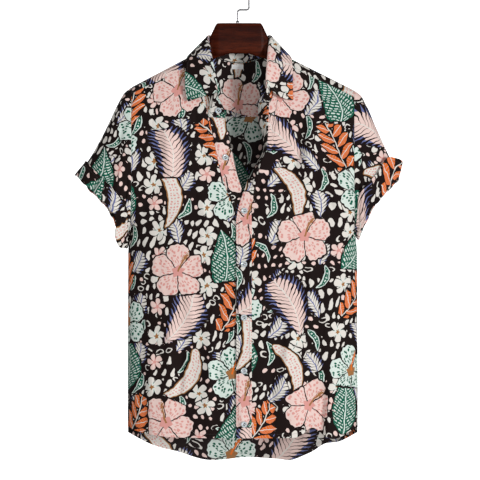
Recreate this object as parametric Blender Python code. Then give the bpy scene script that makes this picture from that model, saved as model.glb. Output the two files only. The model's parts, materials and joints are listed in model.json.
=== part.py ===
"""A short-sleeved hawaiian shirt on a wooden hanger, one closed solid for each cut piece.

Lengths in this file are millimetres, and each mesh is scaled to metres when it is made. The
origin is the inside top of the hook, where the rail touches it. The front faces -Y, +X is the
viewer's right (the wearer's left) and +Z is up.
"""

import math

import bmesh
import bpy
import numpy as np
from mathutils import Vector

MM = 0.001
ALL = slice(None)

# Cloth
CLOTH = 1.2  # wall of a panel
FINE = 1.0  # wall of a band, the inner yoke and the label
GAP = 0.3  # space between two pieces at a seam
LAP = 3.6  # how far the upper front lies in front of the lower one
LAP_END, LAP_FADE = 95.0, 50.0  # x where that ends, and the width in which it fades

# Shoulder line
NECK_Z = -118.0
NECK_LEFT, NECK_RIGHT = -62.0, 63.0
SLOPE_LEFT, SLOPE_RIGHT = 0.527, 0.5
CORNER = 8.0  # softness of the corner between neck and shoulder
ROUND_NECK, ROUND_TIP = 11.0, 17.0  # radius of the cloth over the hanger's arm
ARM_REACH = 130.0  # from the neck to the shoulder tip
FILL_OUT = 120.0  # drop in which the cloth falls out to its full depth

# Body
UNDERARM_Z = -440.0
ARMHOLE_OPEN = 130.0  # height above the underarm where the section is fully open
SECTION_POWER, DEPTH_POWER = 2.3, 2.2  # roundness of the body's section at its sides
FOLD_FADE = 4  # how late the folds fade out towards the side seams
ROLL_POWER = 1.4  # how late the open edge starts to roll in
NECK_BULGE, BULGE_HALF, BULGE_FADE = 22.0, 66.0, 90.0  # the stand pushes the back neck out
YOKE_FRONT = 22.0  # front yoke seam, measured over the shoulder
YOKE_SEAM_Z = -238.0
HEM_BACK_Z, HEM_BACK_RISE, HEM_BACK_POWER = -857.0, 51.0, 2.6  # middle, rise to the sides
HEM_FRONT_Z, HEM_FRONT_RISE, HEM_FRONT_POWER = -815.0, 18.0, 5
STRIP = 28.0  # width of the placket and of the button band
NECK_SHARE = 0.4  # share of a front's top that the neckline takes
STRIP_TOP_POWER = 6  # how soon the slant of the strip's top end fades below it

# Grids
ROW_CLOSER, COLUMN_CLOSER = 1.15, 1.6  # how much closer rows and columns lie at top and side
FRONT_ROWS, STRIP_COLUMNS, NECK_COLUMNS, SHOULDER_COLUMNS = 27, 4, 5, 9
BACK_ROWS, BACK_COLUMNS = 24, 22
YOKE_ROWS, YOKE_COLUMNS = 7, (5, 8, 12)  # along the front seam, up the armhole and across the back
SLEEVE_ROWS = (0, 0.07, 0.16, 0.3, 0.45, 0.6, 0.75, 0.88, 1)  # shares of the sleeve's length
SLEEVE_COLUMNS, CUFF_STEPS = 32, 4
STAND_COLUMNS, STAND_ROWS, LEAF_COLUMNS = 57, 3, 49
LEAF_ROWS = (0.09, 0.24, 0.45, 0.72, 1.0)  # shares of the way down the leaf

# Sleeves
CUFF_RIGHT, CUFF_LEFT = 29.0, 36.0  # widths of the turned-up ends
CUFF_SHARE = 0.75  # most of the sleeve's length that it covers near the underarm
CUFF_CLEAR = 0.6  # between the sleeve and the part turned up over it
FLARE_RIGHT, FLARE_LEFT = 3.0, 22.0  # how far the free edge stands off at the outer tip

# Label, on the inner yoke
LABEL_HALF, LABEL_TOP, LABEL_LOW = 10.7, 32.0, 40.5  # half width, and drops from the shoulder line

# Buttons
BUTTON_SIDES = 14
BUTTON_TOP_Z, BUTTON_PITCH, BUTTONS = -408.6, 95.4, 5

# Hanger and hook
BLOCK_X, BLOCK_THICK, BLOCK_THIN = 2.7, 9.0, 6.5  # half thickness in the middle and at its sides
BLOCK_EVEN, BLOCK_TAPER = 36.0, 16.0  # reach of the even middle, and width of the taper beside it
ARM_LEFT, ARM_RIGHT = -184.0, 202.0
ARM_STATIONS = (-181, -160, -130, -100, -76, -64), (70, 82, 104, 132, 160, 184, 199)
BLOCK_SQUARE, SQUARE_FADE = 6.0, 3.4  # squareness of the block's section, and what its sides lose
END_DROP, END_SHARE = 3.0, 0.7  # rounding of the arms' ends
ARM_CLEAR, ARM_THIN = 3.5, 5.4  # cloth and play above the arm, and on each side of it
ARM_HIGH_NECK, ARM_HIGH_TIP = 23.0, 17.0
WOOD_SIDES = 16
WIRE = 1.6  # radius of the hook's wire
LOOP = 20.7  # radius of the hook's centre line
HOOK_BASE_Z, JOG_Z, JOG_ROUND = -69.6, -46.5, 5.0
FERRULE, FERRULE_HIGH, WIRE_SIDES = 3.3, 3.0, 8
HOOK_END = 7.0  # straight end of the hook below its loop


def table(columns, *rows):
    """Rows of numbers under named columns."""
    return {name: np.array([row[i] for row in rows], float) for i, name in enumerate(columns.split())}


# Waves of the front hem.
HEM_WAVES = table(
    "x height width",
    (134, 17, 17),
    (176, -8, 20),
)

# Outline of the body in front view: the armhole seams above the underarm, the side seams below it.
SIDES = table(
    "z left right",
    (-860, -197, 215),
    (-800, -197, 215),
    (-486, -197, 215),
    (-440, -193, 211.5),
    (-335, -190.5, 209.5),
    (-188, -191, 210),
)

# Half depth of the hanging body at its middle.
DEPTHS = table(
    "z front back",
    (-860, 71, 66),
    (-640, 66, 62),
    (-440, 61, 58),
    (-300, 56, 54),
    (-188, 50, 50),
)

# The largest folds of the hanging cloth, front (face -1) and back (face 1).
FOLDS = table(
    "face x_top x_low z_top width height",
    (-1, -120, -150, -330, 24, 6),
    (-1, -70, -92, -420, 22, -5),
    (-1, 96, 100, -400, 24, 5),
    (-1, 140, 137, -420, 20, -9),
    (-1, 168, 182, -330, 20, 7),
    (1, -110, -140, -300, 26, 7),
    (1, -40, -60, -280, 26, -6),
    (1, 30, 30, -280, 28, 6),
    (1, 90, 108, -280, 26, -6),
    (1, 150, 172, -330, 22, 6),
)

# Front edges above the top fastened button: edge, seam of the strip, and how far the edge rolls in.
RIGHT_EDGE = table(
    "z edge roll",
    (-860, 25.6, 0),
    (-430, 25.6, 0),
    (-405, 21, 0),
    (-377, 10.3, 1),
    (-337, -2.7, 5),
    (-295, -11.7, 8),
    (-243, -22.5, 6),
)
LEFT_EDGE = table(
    "z edge seam roll",
    (-860, -2.2, 25.6, 0),
    (-430, -2.2, 25.6, 0),
    (-404, 1.5, 24.5, 0),
    (-384, 7.5, 28, 0),
    (-372, 12, 29, 1),
    (-350, 20, 35, 14),
    (-326, 33, 41, 24),
    (-295, 47, 53, 26),
    (-272, 45.5, 54.5, 25),
    (-250, 37.5, 55.5, 21),
    (-214, 37.5, 56.7, 20),
)

# The collar, from the wearer's right stand end round the back to the left one. neck_s is measured
# over the shoulder line, minus in front. The leaf runs from row 1 to row 13.
COLLAR = table(
    "neck_x neck_s top_x top_y top_z edge_x edge_y edge_z",
    (-22.5, -131.3, -20.7, -47, -234, -80, -38, -215),
    (-50.5, -128.0, -37.0, -50, -199, -89, -37, -212.4),
    (-58.0, -92.0, -38.5, -46, -182, -91, -35, -195),
    (-62.5, -50.0, -45.0, -36, -150, -91.5, -30, -172),
    (-62.5, -22.0, -50.5, -19, -119, -92, -20, -145),
    (-60.0, 0.0, -52.6, 3, -95.4, -87.5, 3, -128.8),
    (-42.0, 19.0, -37.0, 30, -102, -52, 41, -142),
    (4.0, 30.0, 4.0, 39, -110, 4, 46, -153),
    (47.0, 19.0, 43.0, 30, -102, 59, 41, -142),
    (64.5, 0.0, 59.4, 3, -95.4, 93.5, 3, -129.8),
    (68.5, -22.0, 57.0, -19, -119, 98.5, -20, -145),
    (69.0, -50.0, 54.5, -36, -150, 99.5, -29, -168),
    (65.5, -76.0, 53.0, -43, -173, 99.5, -33, -188),
    (56.7, -101.0, 52.2, -46, -189, 99.3, -38, -210),
    (37.5, -103.0, 40.0, -26, -208, 92, -38, -214),
)
LEAF_FIRST, LEAF_LAST = 1, 13
LEAF_FOLD = ((2.6, -1.5), (3.3, 1.3), (1.6, 3.9))  # up and out from the stand's top edge
YOKE_FIRST, YOKE_LAST = 4, 10
LEAF_HUMP, TIP_SAG = 3.0, 6.0
STAND_CLEAR = 1.45  # along the stand, from the neck seam

# The fold at the end of each sleeve, one row for each eighth of the way round from the outer tip.
FOLD_RIGHT = table(
    "x y z",
    (-288, 0, -343),
    (-268, -27, -366),
    (-242, -36, -390),
    (-215, -26, -425),
    (-206, -3, -474),
    (-221, 26, -443),
    (-244, 36, -403),
    (-270, 27, -371),
)
FOLD_LEFT = table(
    "x y z",
    (290, 0, -351),
    (276, -27, -366),
    (254, -36, -388),
    (232, -29, -415),
    (218, -3, -455),
    (228, 26, -434),
    (252, 36, -391),
    (275, 27, -367),
)

# How far the top of the sleeve stands out of the straight line from shoulder to fold.
CAP = table(
    "along right left",
    (0, 0, 0),
    (0.1, 6.5, 7),
    (0.22, 5.5, 6),
    (0.4, 2.5, 1.5),
    (0.6, -1, -3.5),
    (0.8, -2.5, -5),
    (1, 0, 0),
)

# Turned profile of a button, from the middle of its back to the middle of its dish.
BUTTON = table(
    "radius height",
    (0, 0),
    (4.6, 0),
    (5.7, 1.2),
    (5.4, 2.6),
    (4.3, 2.6),
    (3.6, 1.9),
    (0, 1.9),
)

# The hanger's block in front view, mirrored about BLOCK_X; reach is the distance from it.
BLOCK = table(
    "reach top low",
    (0, -70.2, -125.3),
    (17, -70.2, -125.3),
    (28.5, -70.2, -129.0),
    (37.5, -70.4, -131.8),
    (40.5, -73.0, -133.0),
    (52.3, -96.5, -137.5),
    (53.0, -112.0, -138.5),
    (54.0, -124.0, -139.5),
    (60.0, -124.4, -142.5),
)


def smooth(at, keys, values, free=False):
    """A smooth curve through (keys, values), level outside them. It only overshoots if free."""
    slopes = np.gradient(values, keys)
    if not free:
        steps = np.diff(values) / np.diff(keys)
        least = np.minimum(np.abs(steps[1:]), np.abs(steps[:-1]))
        limit = np.where(steps[1:] * steps[:-1] > 0, 1.5 * least, 0)
        slopes[1:-1] = np.clip(slopes[1:-1], -limit, limit)
    at = np.clip(at, keys[0], keys[-1])
    i = np.clip(np.searchsorted(keys, at) - 1, 0, len(keys) - 2)
    span = keys[i + 1] - keys[i]
    t = (at - keys[i]) / span
    low = values[i] * (2 * t**3 - 3 * t**2 + 1) + slopes[i] * span * (t**3 - 2 * t**2 + t)
    return low + values[i + 1] * (3 * t**2 - 2 * t**3) + slopes[i + 1] * span * (t**3 - t**2)


def column(rows, name, at):
    """A column of a table whose first column is its key, at any value of that key."""
    return smooth(at, rows[next(iter(rows))], rows[name])


def by_row(rows, name, at, free=True):
    """A column of a table at any row number."""
    return smooth(at, np.arange(len(rows[name]), dtype=float), rows[name], free)


def ramp(t):
    t = np.clip(t, 0, 1)
    return t * t * (3 - 2 * t)


def unit(v):
    return v / np.maximum(np.linalg.norm(v, axis=-1, keepdims=True), 1e-9)


def spaced(low, high, count):
    return np.linspace(low, high, count)


# The body's surface


def ridge(x):
    """Height of the shoulder line."""
    left = SLOPE_LEFT * CORNER * np.logaddexp(0, (NECK_LEFT - x) / CORNER)
    right = SLOPE_RIGHT * CORNER * np.logaddexp(0, (x - NECK_RIGHT) / CORNER)
    return NECK_Z - left - right


def shoulder_round(x):
    reach = np.abs(x - (NECK_LEFT + NECK_RIGHT) / 2) - (NECK_RIGHT - NECK_LEFT) / 2
    return ROUND_NECK + (ROUND_TIP - ROUND_NECK) * np.clip(reach / ARM_REACH, 0, 1)


def folds(x, z, face):
    """Soft ridges and troughs that run down the cloth and deepen towards the hem."""
    out = np.zeros(np.broadcast(x, z).shape)
    for which, x_top, x_low, z_top, width, height in zip(*FOLDS.values()):
        if which == face:
            down = (z_top - z) / (z_top - HEM_BACK_Z)
            middle = x_top + (x_low - x_top) * down
            out += height * ramp(down * 1.6) * np.exp(-(((x - middle) / width) ** 2))
    return out


def depth(x, z, face):
    """How far the body's surface stands from the shoulder plane, in front (-1) or behind (1)."""
    left, right = column_of_sides(z)
    across = np.clip(np.abs((2 * x - left - right) / (right - left)), 0, 1)
    drop = np.maximum(ridge(x) - z, 0)
    over = shoulder_round(x)
    rise = over * np.sqrt(1 - (1 - np.clip(drop / over, 0, 1)) ** 2)
    full = smooth(z, DEPTHS["z"], DEPTHS["front" if face < 0 else "back"])
    out = rise + (full - over) * (1 - np.exp(-np.maximum(drop - over, 0) / FILL_OUT))
    out += folds(x, z, face) * (1 - across**FOLD_FADE)
    if face > 0:
        beside = np.clip(1 - ((x - NECK_MIDDLE) / BULGE_HALF) ** 2, 0, 1) ** 0.75
        out += NECK_BULGE * beside * np.exp(-drop / BULGE_FADE) * ramp(drop / over)
    closed = 1 - np.clip((z - UNDERARM_Z) / ARMHOLE_OPEN, 0, 1) ** 1.1
    return out * np.maximum(1 - closed * across**SECTION_POWER, 0) ** (1 / DEPTH_POWER)


NECK_MIDDLE = (NECK_LEFT + NECK_RIGHT) / 2 + 3


def column_of_sides(z):
    return column(SIDES, "left", z), column(SIDES, "right", z)


def edge_and_seam(z, side):
    """x of the front edge, x of the seam of its strip, and the roll, on one side's front."""
    if side < 0:
        edge = column(RIGHT_EDGE, "edge", z)
        return edge, edge - STRIP, column(RIGHT_EDGE, "roll", z)
    return [column(LEFT_EDGE, name, z) for name in ("edge", "seam", "roll")]


def front_y(x, z, side):
    """y of the front on the wearer's right (side -1) or left (side 1)."""
    edge, seam, roll = edge_and_seam(z, side)
    inward = np.clip((seam - x) / (seam - edge), 0, 1)
    y = -depth(x, z, -1) + roll * inward**ROLL_POWER
    return y - (LAP * ramp((LAP_END - x) / LAP_FADE) if side > 0 else 0)


def over_shoulder(x, s):
    """The body's surface at a distance s over the shoulder line, minus in front."""
    over = shoulder_round(x)
    away = np.abs(s)
    quarter = over * math.pi / 2
    drop = np.where(away < quarter, over * (1 - np.cos(away / over)), over + away - quarter)
    z = ridge(x) - drop
    y = np.where(s < 0, -depth(x, z, -1), depth(x, z, 1))
    return np.stack([x, y, z], -1)


def neck_line(row):
    """The neck seam at rows of the collar table."""
    x, s = by_row(COLLAR, "neck_x", row, False), by_row(COLLAR, "neck_s", row, False)
    points = over_shoulder(x, s)
    for side in (-1, 1):
        front = (s < -YOKE_FRONT) & (x * side > 0)
        points[..., 1] = np.where(front, front_y(x, points[..., 2], side), points[..., 1])
    return points


# Grids and walls


def patch(u, v, left, right, low, high):
    """Coons patch: a grid of plane points between four boundary curves, given as arrays."""
    u, v = u[None, :, None], v[:, None, None]
    across = (1 - u) * left[:, None] + u * right[:, None]
    along = (1 - v) * low[None] + v * high[None]
    corners = (1 - v) * ((1 - u) * low[0] + u * low[-1]) + v * ((1 - u) * high[0] + u * high[-1])
    return across + along - corners


def trim(grid, rows=(True, True), columns=(True, True), by=GAP / 2):
    """Moves the outer rows and columns inwards, so that a seam keeps its gap."""
    grid = grid.copy()
    for wanted, edge, inner in ((rows[0], 0, 1), (rows[1], -1, -2)):
        if wanted:
            grid[edge] += unit(grid[inner] - grid[edge]) * by
    for wanted, edge, inner in ((columns[0], 0, 1), (columns[1], -1, -2)):
        if wanted:
            grid[:, edge] += unit(grid[:, inner] - grid[:, edge]) * by
    return grid


def normals(grid, away, around=False):
    """Unit normals of a grid, on the side of the vectors in away."""
    down = np.gradient(grid, axis=0)
    if around:
        across = np.roll(grid, -1, axis=1) - np.roll(grid, 1, axis=1)
    else:
        across = np.gradient(grid, axis=1)
    n = unit(np.cross(down, across))
    return n if (n * away).sum() > 0 else -n


def cells(rows, columns, around):
    """Index quads of a grid, as pairs of triangles with one diagonal."""
    out = []
    for i in range(rows - 1):
        for j in range(columns if around else columns - 1):
            k = (j + 1) % columns
            a, b, c, d = i * columns + j, i * columns + k, (i + 1) * columns + k, (i + 1) * columns + j
            out += [(a, b, c), (a, c, d)]
    return out


def material(name, colour, roughness, metallic=0.0):
    made = bpy.data.materials.new(name)
    made.use_nodes = True
    shader = made.node_tree.nodes["Principled BSDF"]
    shader.inputs["Base Color"].default_value = (*colour, 1)
    shader.inputs["Roughness"].default_value = roughness
    shader.inputs["Metallic"].default_value = metallic
    return made


def solid(name, points, faces, made_of):
    """An object from points in millimetres and faces, with its normals outwards."""
    mesh = bpy.data.meshes.new(name)
    mesh.from_pydata((np.asarray(points) * MM).tolist(), [], faces)
    shape = bmesh.new()
    shape.from_mesh(mesh)
    bmesh.ops.recalc_face_normals(shape, faces=shape.faces)
    shape.to_mesh(mesh)
    shape.free()
    mesh.polygons.foreach_set("use_smooth", [True] * len(mesh.polygons))
    mesh.materials.append(made_of)
    made = bpy.data.objects.new(name, mesh)
    bpy.context.scene.collection.objects.link(made)
    return made


def wall(name, outer, inner, made_of, around=False):
    """A cloth piece between two grids of points with the same rows and columns."""
    rows, columns = outer.shape[:2]
    size = rows * columns
    skin = cells(rows, columns, around)
    faces = skin + [tuple(size + i for i in reversed(face)) for face in skin]
    edges = [[i * columns + j for j in range(columns)] for i in (0, rows - 1)]
    if around:
        edges = [edge + edge[:1] for edge in edges]
    else:
        edges += [[i * columns + j for i in range(rows)] for j in (0, columns - 1)]
    for edge in edges:
        for a, b in zip(edge, edge[1:]):
            faces += [(a, b, size + b), (a, size + b, size + a)]
    points = np.concatenate([outer.reshape(-1, 3), inner.reshape(-1, 3)])
    return solid(name, points, faces, made_of)


def cloth(name, grid, away, made_of, out=0.0, thick=CLOTH, around=False, square=()):
    """A wall whose outer face is the grid moved out. Each entry of square names rows, columns and
    the axis that their normals lose, so that two pieces meet squarely at a seam."""
    n = normals(grid, away, around)
    for rows, columns, axis in square:
        n[rows, columns, axis] = 0
    n = unit(n)
    return wall(name, grid + n * out, grid + n * (out - thick), made_of, around)


# Fronts, back and yoke


def hem_z(x, face):
    left, right = SIDES["left"][0], SIDES["right"][0]
    across = np.abs((2 * x - left - right) / (right - left))
    if face > 0:
        return HEM_BACK_Z + HEM_BACK_RISE * across**HEM_BACK_POWER
    z = HEM_FRONT_Z + HEM_FRONT_RISE * across**HEM_FRONT_POWER
    for middle, height, width in zip(*HEM_WAVES.values()):
        z = z + height * np.exp(-(((x - middle) / width) ** 2))
    return z


def seam_z(x):
    """Height of the front yoke seam."""
    return over_shoulder(x, np.full_like(x, -YOKE_FRONT))[..., 2]


def front_grid(side, rows, strip_columns, neck_columns, shoulder_columns):
    """Points of a front: the strip from its edge to its seam, then the rest to the side."""
    first, last = (0, YOKE_FIRST) if side < 0 else (len(COLLAR["neck_x"]) - 1, YOKE_LAST)
    at_seam = first - side
    v = 1 - (1 - spaced(0, 1, rows)) ** ROW_CLOSER
    top_edge, top_seam = neck_line(np.array([float(first), float(at_seam)]))
    z_low = hem_z(seam_z_x(side), -1)
    z_seam = z_low + v * (top_seam[2] - z_low)
    strip = []
    for q in spaced(1, 0, strip_columns)[:-1]:
        z = z_seam + q * (top_edge[2] - top_seam[2]) * v**STRIP_TOP_POWER
        edge, seam, _ = edge_and_seam(z, side)
        strip.append(np.stack([seam + q * (edge - seam), z], -1))
    seam_line = np.stack([edge_and_seam(z_seam, side)[1], z_seam], -1)
    name = "left" if side < 0 else "right"
    tip = column(SIDES, name, -200.0)
    z_low = hem_z(column(SIDES, name, -800.0), -1)
    z_side = z_low + v * (seam_z(np.array(tip)) - z_low)
    side_line = np.stack([column(SIDES, name, z_side), z_side], -1)
    neck_u = spaced(0, NECK_SHARE, neck_columns)
    u = 1 - (1 - NECK_SHARE) * (1 - spaced(0, 1, shoulder_columns)) ** COLUMN_CLOSER
    u = np.concatenate([neck_u[:-1], u])
    low_x = seam_line[0, 0] + u * (side_line[0, 0] - seam_line[0, 0])
    low = np.stack([low_x, hem_z(low_x, -1)], -1)
    row = at_seam + (last - at_seam) * np.clip(u / NECK_SHARE, 0, 1)
    neck = neck_line(row)[:, [0, 2]]
    neck[0] = seam_line[-1]
    x = neck[:, 0] + (tip - neck[:, 0]) * np.clip((u - NECK_SHARE) / (1 - NECK_SHARE), 0, 1)
    high = np.where((u <= NECK_SHARE)[:, None], neck, np.stack([x, seam_z(x)], -1))
    plane = patch(u, v, seam_line, side_line, low, high)
    plane = np.concatenate([np.stack(strip, 1), plane], 1)
    x, z = plane[..., 0], plane[..., 1]
    return np.stack([x, front_y(x, z, side), z], -1)


def seam_z_x(side):
    """x at which a front's strip meets the hem."""
    return edge_and_seam(HEM_FRONT_Z, side)[1]


def back_grid(rows, columns):
    u = (1 - np.cos(spaced(0, 1, columns) * math.pi)) / 2
    u = 0.55 * u + 0.45 * spaced(0, 1, columns)
    v = spaced(0, 1, rows)
    lines = []
    for name in ("left", "right"):
        low = hem_z(column(SIDES, name, -800.0), 1)
        z = low + v * (YOKE_SEAM_Z - low)
        lines.append(np.stack([column(SIDES, name, z), z], -1))
    low_x = lines[0][0, 0] + u * (lines[1][0, 0] - lines[0][0, 0])
    high_x = lines[0][-1, 0] + u * (lines[1][-1, 0] - lines[0][-1, 0])
    low = np.stack([low_x, hem_z(low_x, 1)], -1)
    high = np.stack([high_x, np.full_like(high_x, YOKE_SEAM_Z)], -1)
    plane = patch(u, v, *lines, low, high)
    x, z = plane[..., 0], plane[..., 1]
    return np.stack([x, depth(x, z, 1), z], -1)


def yoke_seam_s(x):
    return ridge(x) - YOKE_SEAM_Z + (math.pi / 2 - 1) * shoulder_round(x)


def yoke_grid(rows, front_columns, arm_columns, back_columns):
    """Points of the yoke, from the wearer's right front seam round the neck to the left one. Up
    each armhole one column lies on the shoulder line, and then they spread to the back seam."""
    shoulder, corner = 1 / 6, 0.3
    front = spaced(0, shoulder, front_columns)
    arm = spaced(shoulder, corner, arm_columns)
    middle = spaced(corner, 1 - corner, back_columns)
    half = np.concatenate([front[:-1], arm[:-1]])
    u = np.concatenate([half, middle, 1 - half[::-1]])
    v = spaced(0, 1, rows)
    row = YOKE_FIRST + (YOKE_LAST - YOKE_FIRST) * u
    neck = np.stack([by_row(COLLAR, name, row, False) for name in ("neck_x", "neck_s")], -1)
    left_x, right_x = column(SIDES, "left", -200.0), column(SIDES, "right", -200.0)
    x = left_x + (right_x - left_x) * np.clip((u - corner) / (1 - 2 * corner), 0, 1)
    up = np.minimum(u, 1 - u)
    s = -YOKE_FRONT * np.clip(1 - up / shoulder, 0, 1)
    s += yoke_seam_s(x) * np.clip((up - shoulder) / (corner - shoulder), 0, 1) ** 1.5
    outer = np.stack([x, s], -1)
    sides = [neck[i] + v[:, None] * (outer[i] - neck[i]) for i in (0, -1)]
    plane = patch(u, v, *sides, neck, outer)
    return over_shoulder(plane[..., 0], plane[..., 1])


# Sleeves and cuffs


def around_ring(rows, angle):
    """A closed curve through the rows of a table, at angles from 0 to 1."""
    wide = {name: np.concatenate([values[-3:], values, values[:4]]) for name, values in rows.items()}
    at = 3 + angle * len(rows["x"])
    return np.stack([by_row(wide, name, at) for name in "xyz"], -1)


def armhole_ring(angle, side):
    """The armhole seam, from the shoulder tip round the front."""
    name = "left" if side < 0 else "right"
    tip_z = ridge(column(SIDES, name, -188.0))
    z = (tip_z + UNDERARM_Z) / 2 + (tip_z - UNDERARM_Z) / 2 * np.cos(2 * math.pi * angle)
    x = column(SIDES, name, z)
    y = np.where(angle < 0.5, -depth(x, z, -1), depth(x, z, 1))
    return np.stack([x + side * GAP, y, z], -1)


def sleeve_grid(side, along, columns):
    """Rings of a sleeve, from the armhole to the fold."""
    angle = np.arange(columns) / columns
    start = armhole_ring(angle, side)
    end = around_ring(FOLD_RIGHT if side < 0 else FOLD_LEFT, angle)
    cap = smooth(along, CAP["along"], CAP["right" if side < 0 else "left"])
    top = np.clip(np.cos(2 * math.pi * angle), 0, 1) ** 1.5
    out = unit(np.array([side * 0.85, 0, 0.53]))
    grid = start[None] + along[:, None, None] * (end - start)[None]
    return grid + (cap[:, None] * top[None])[..., None] * out


def outer_tip(angle):
    """1 at the outer tip of a sleeve's end, 0 on its lower half."""
    return np.clip(np.cos(2 * math.pi * angle), 0, 1) ** 2


def cuff_grid(side, columns, steps):
    """Points of a sleeve's end, from the fold up by the cuff's width, and how far up each is."""
    width = CUFF_RIGHT if side < 0 else CUFF_LEFT
    angle = np.arange(columns) / columns
    start = armhole_ring(angle, side)
    end = around_ring(FOLD_RIGHT if side < 0 else FOLD_LEFT, angle)
    length = np.linalg.norm(end - start, axis=-1)
    up = spaced(0, 1, steps)
    stands_off = outer_tip(angle) * (FLARE_RIGHT if side < 0 else FLARE_LEFT)
    rise = np.sqrt(width**2 - stands_off**2)
    reach = np.minimum(rise, CUFF_SHARE * length) / length
    rings = []
    for j in range(columns):
        column_rows = 1 - up * reach[j]
        rings.append(sleeve_grid(side, column_rows, columns)[:, j])
    return np.stack(rings, 1), up


def cuff(name, side, columns, made_of):
    """The turned-up end: a band outside the sleeve and the fold that closes over its edge."""
    grid, up = cuff_grid(side, columns, CUFF_STEPS)
    middle = grid.mean(axis=(0, 1))
    n = normals(grid, grid - middle, around=True)
    tip = outer_tip(np.arange(columns) / columns)
    flare = (FLARE_RIGHT if side < 0 else FLARE_LEFT) * up[:, None] ** 1.3 * tip[None]
    lift = (CUFF_CLEAR + flare)[..., None]
    under, over = grid + n * lift, grid + n * (lift + CLOTH)
    along = np.roll(grid[0], -1, axis=0) - np.roll(grid[0], 1, axis=0)
    down = unit(np.cross(n[0], along))
    down *= np.sign((down * (grid[0] - grid[1])).sum())
    fold_out = grid[0] + n[0] * (CUFF_CLEAR + 0.4 * CLOTH) + down * (CLOTH + GAP)
    fold_in = grid[0] - n[0] * CLOTH + down * (CLOTH + GAP)
    lip = grid[0] - n[0] * CLOTH + down * GAP
    corner = grid[0] + n[0] * CUFF_CLEAR + down * GAP
    under[0] = corner
    profile = [*over[::-1], fold_out, fold_in, lip, *under]
    rings = np.stack(profile, 0)
    count = len(profile)
    faces = [
        tuple((i + di) % count * columns + (j + dj) % columns for di, dj in corner_steps)
        for i in range(count)
        for j in range(columns)
        for corner_steps in (((0, 0), (0, 1), (1, 1)), ((0, 0), (1, 1), (1, 0)))
    ]
    return solid(name, rings.reshape(-1, 3), faces, made_of)


# Collar


def collar_lines(row):
    """Neck seam, top of the stand and outer edge of the leaf at rows of the collar table."""
    neck = neck_line(row)
    top = np.stack([by_row(COLLAR, "top_" + axis, row) for axis in "xyz"], -1)
    edge = np.stack([by_row(COLLAR, "edge_" + axis, row) for axis in "xyz"], -1)
    return neck, top, edge


def stand_grid(columns, rows):
    row = spaced(0, len(COLLAR["neck_x"]) - 1, columns)
    neck, top, _ = collar_lines(row)
    up = unit(top - neck)
    neck = neck + up * STAND_CLEAR
    share = spaced(0, 1, rows)[:, None, None]
    return neck[None] + share * (top - neck)[None]


def leaf_grid(columns):
    """Outer face of the leaf, from the stand's top edge over and down to the leaf's own edge."""
    row = spaced(LEAF_FIRST, LEAF_LAST, columns)
    neck, top, edge = collar_lines(row)
    rise, fall = unit(top - neck), edge - top
    crest = unit(rise - unit(fall))
    lift = unit(crest - (crest * unit(fall)).sum(-1, keepdims=True) * unit(fall))
    at_end = np.exp(-((row - LEAF_LAST) / 0.5) ** 2) * TIP_SAG
    rows = [top + crest * up + lift * out for up, out in LEAF_FOLD]
    for share in LEAF_ROWS:
        hump = LEAF_HUMP * math.sin(math.pi * share**0.7) + LEAF_FOLD[-1][1] * (1 - share)
        sag = np.stack([0 * row, 0 * row, -at_end * math.sin(math.pi * share)], -1)
        rows.append(top + fall * share + lift * hump + sag)
    return np.stack(rows, 0), lift


# Buttons, hanger and hook


def button(name, place, facing, made_of):
    """A disc with a raised rim; the middle of its back is at its origin."""
    sides = BUTTON_SIDES
    radii, heights = BUTTON["radius"], BUTTON["height"]
    points = [(0, 0, heights[0])]
    for radius, height in zip(radii[1:-1], heights[1:-1]):
        for k in range(sides):
            turn = 2 * math.pi * k / sides
            points.append((radius * math.cos(turn), radius * math.sin(turn), height))
    points.append((0, 0, heights[-1]))
    rings = len(radii) - 2
    faces = [quad_at(i, j, sides) for i in range(rings - 1) for j in range(sides)]
    last = 1 + (rings - 1) * sides
    faces += [(0, 1 + j, 1 + (j + 1) % sides) for j in range(sides)]
    faces += [(len(points) - 1, last + j, last + (j + 1) % sides) for j in range(sides)]
    made = solid(name, points, faces, made_of)
    made.location = Vector(place) * MM
    made.rotation_euler = Vector(facing).to_track_quat("Z", "Y").to_euler()
    return made


def quad_at(i, j, sides):
    """A quad between ring i and the next, where the first point is the centre of a cap."""
    k = (j + 1) % sides
    return 1 + i * sides + j, 1 + i * sides + k, 1 + (i + 1) * sides + k, 1 + (i + 1) * sides + j


def tube(name, rings, made_of):
    """A solid through closed rings of points, with a cap at each end."""
    count, sides = rings.shape[:2]
    faces = cells(count, sides, around=True)
    faces += [tuple(range(sides)), tuple((count - 1) * sides + j for j in range(sides))]
    return solid(name, rings.reshape(-1, 3), faces, made_of)


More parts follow.
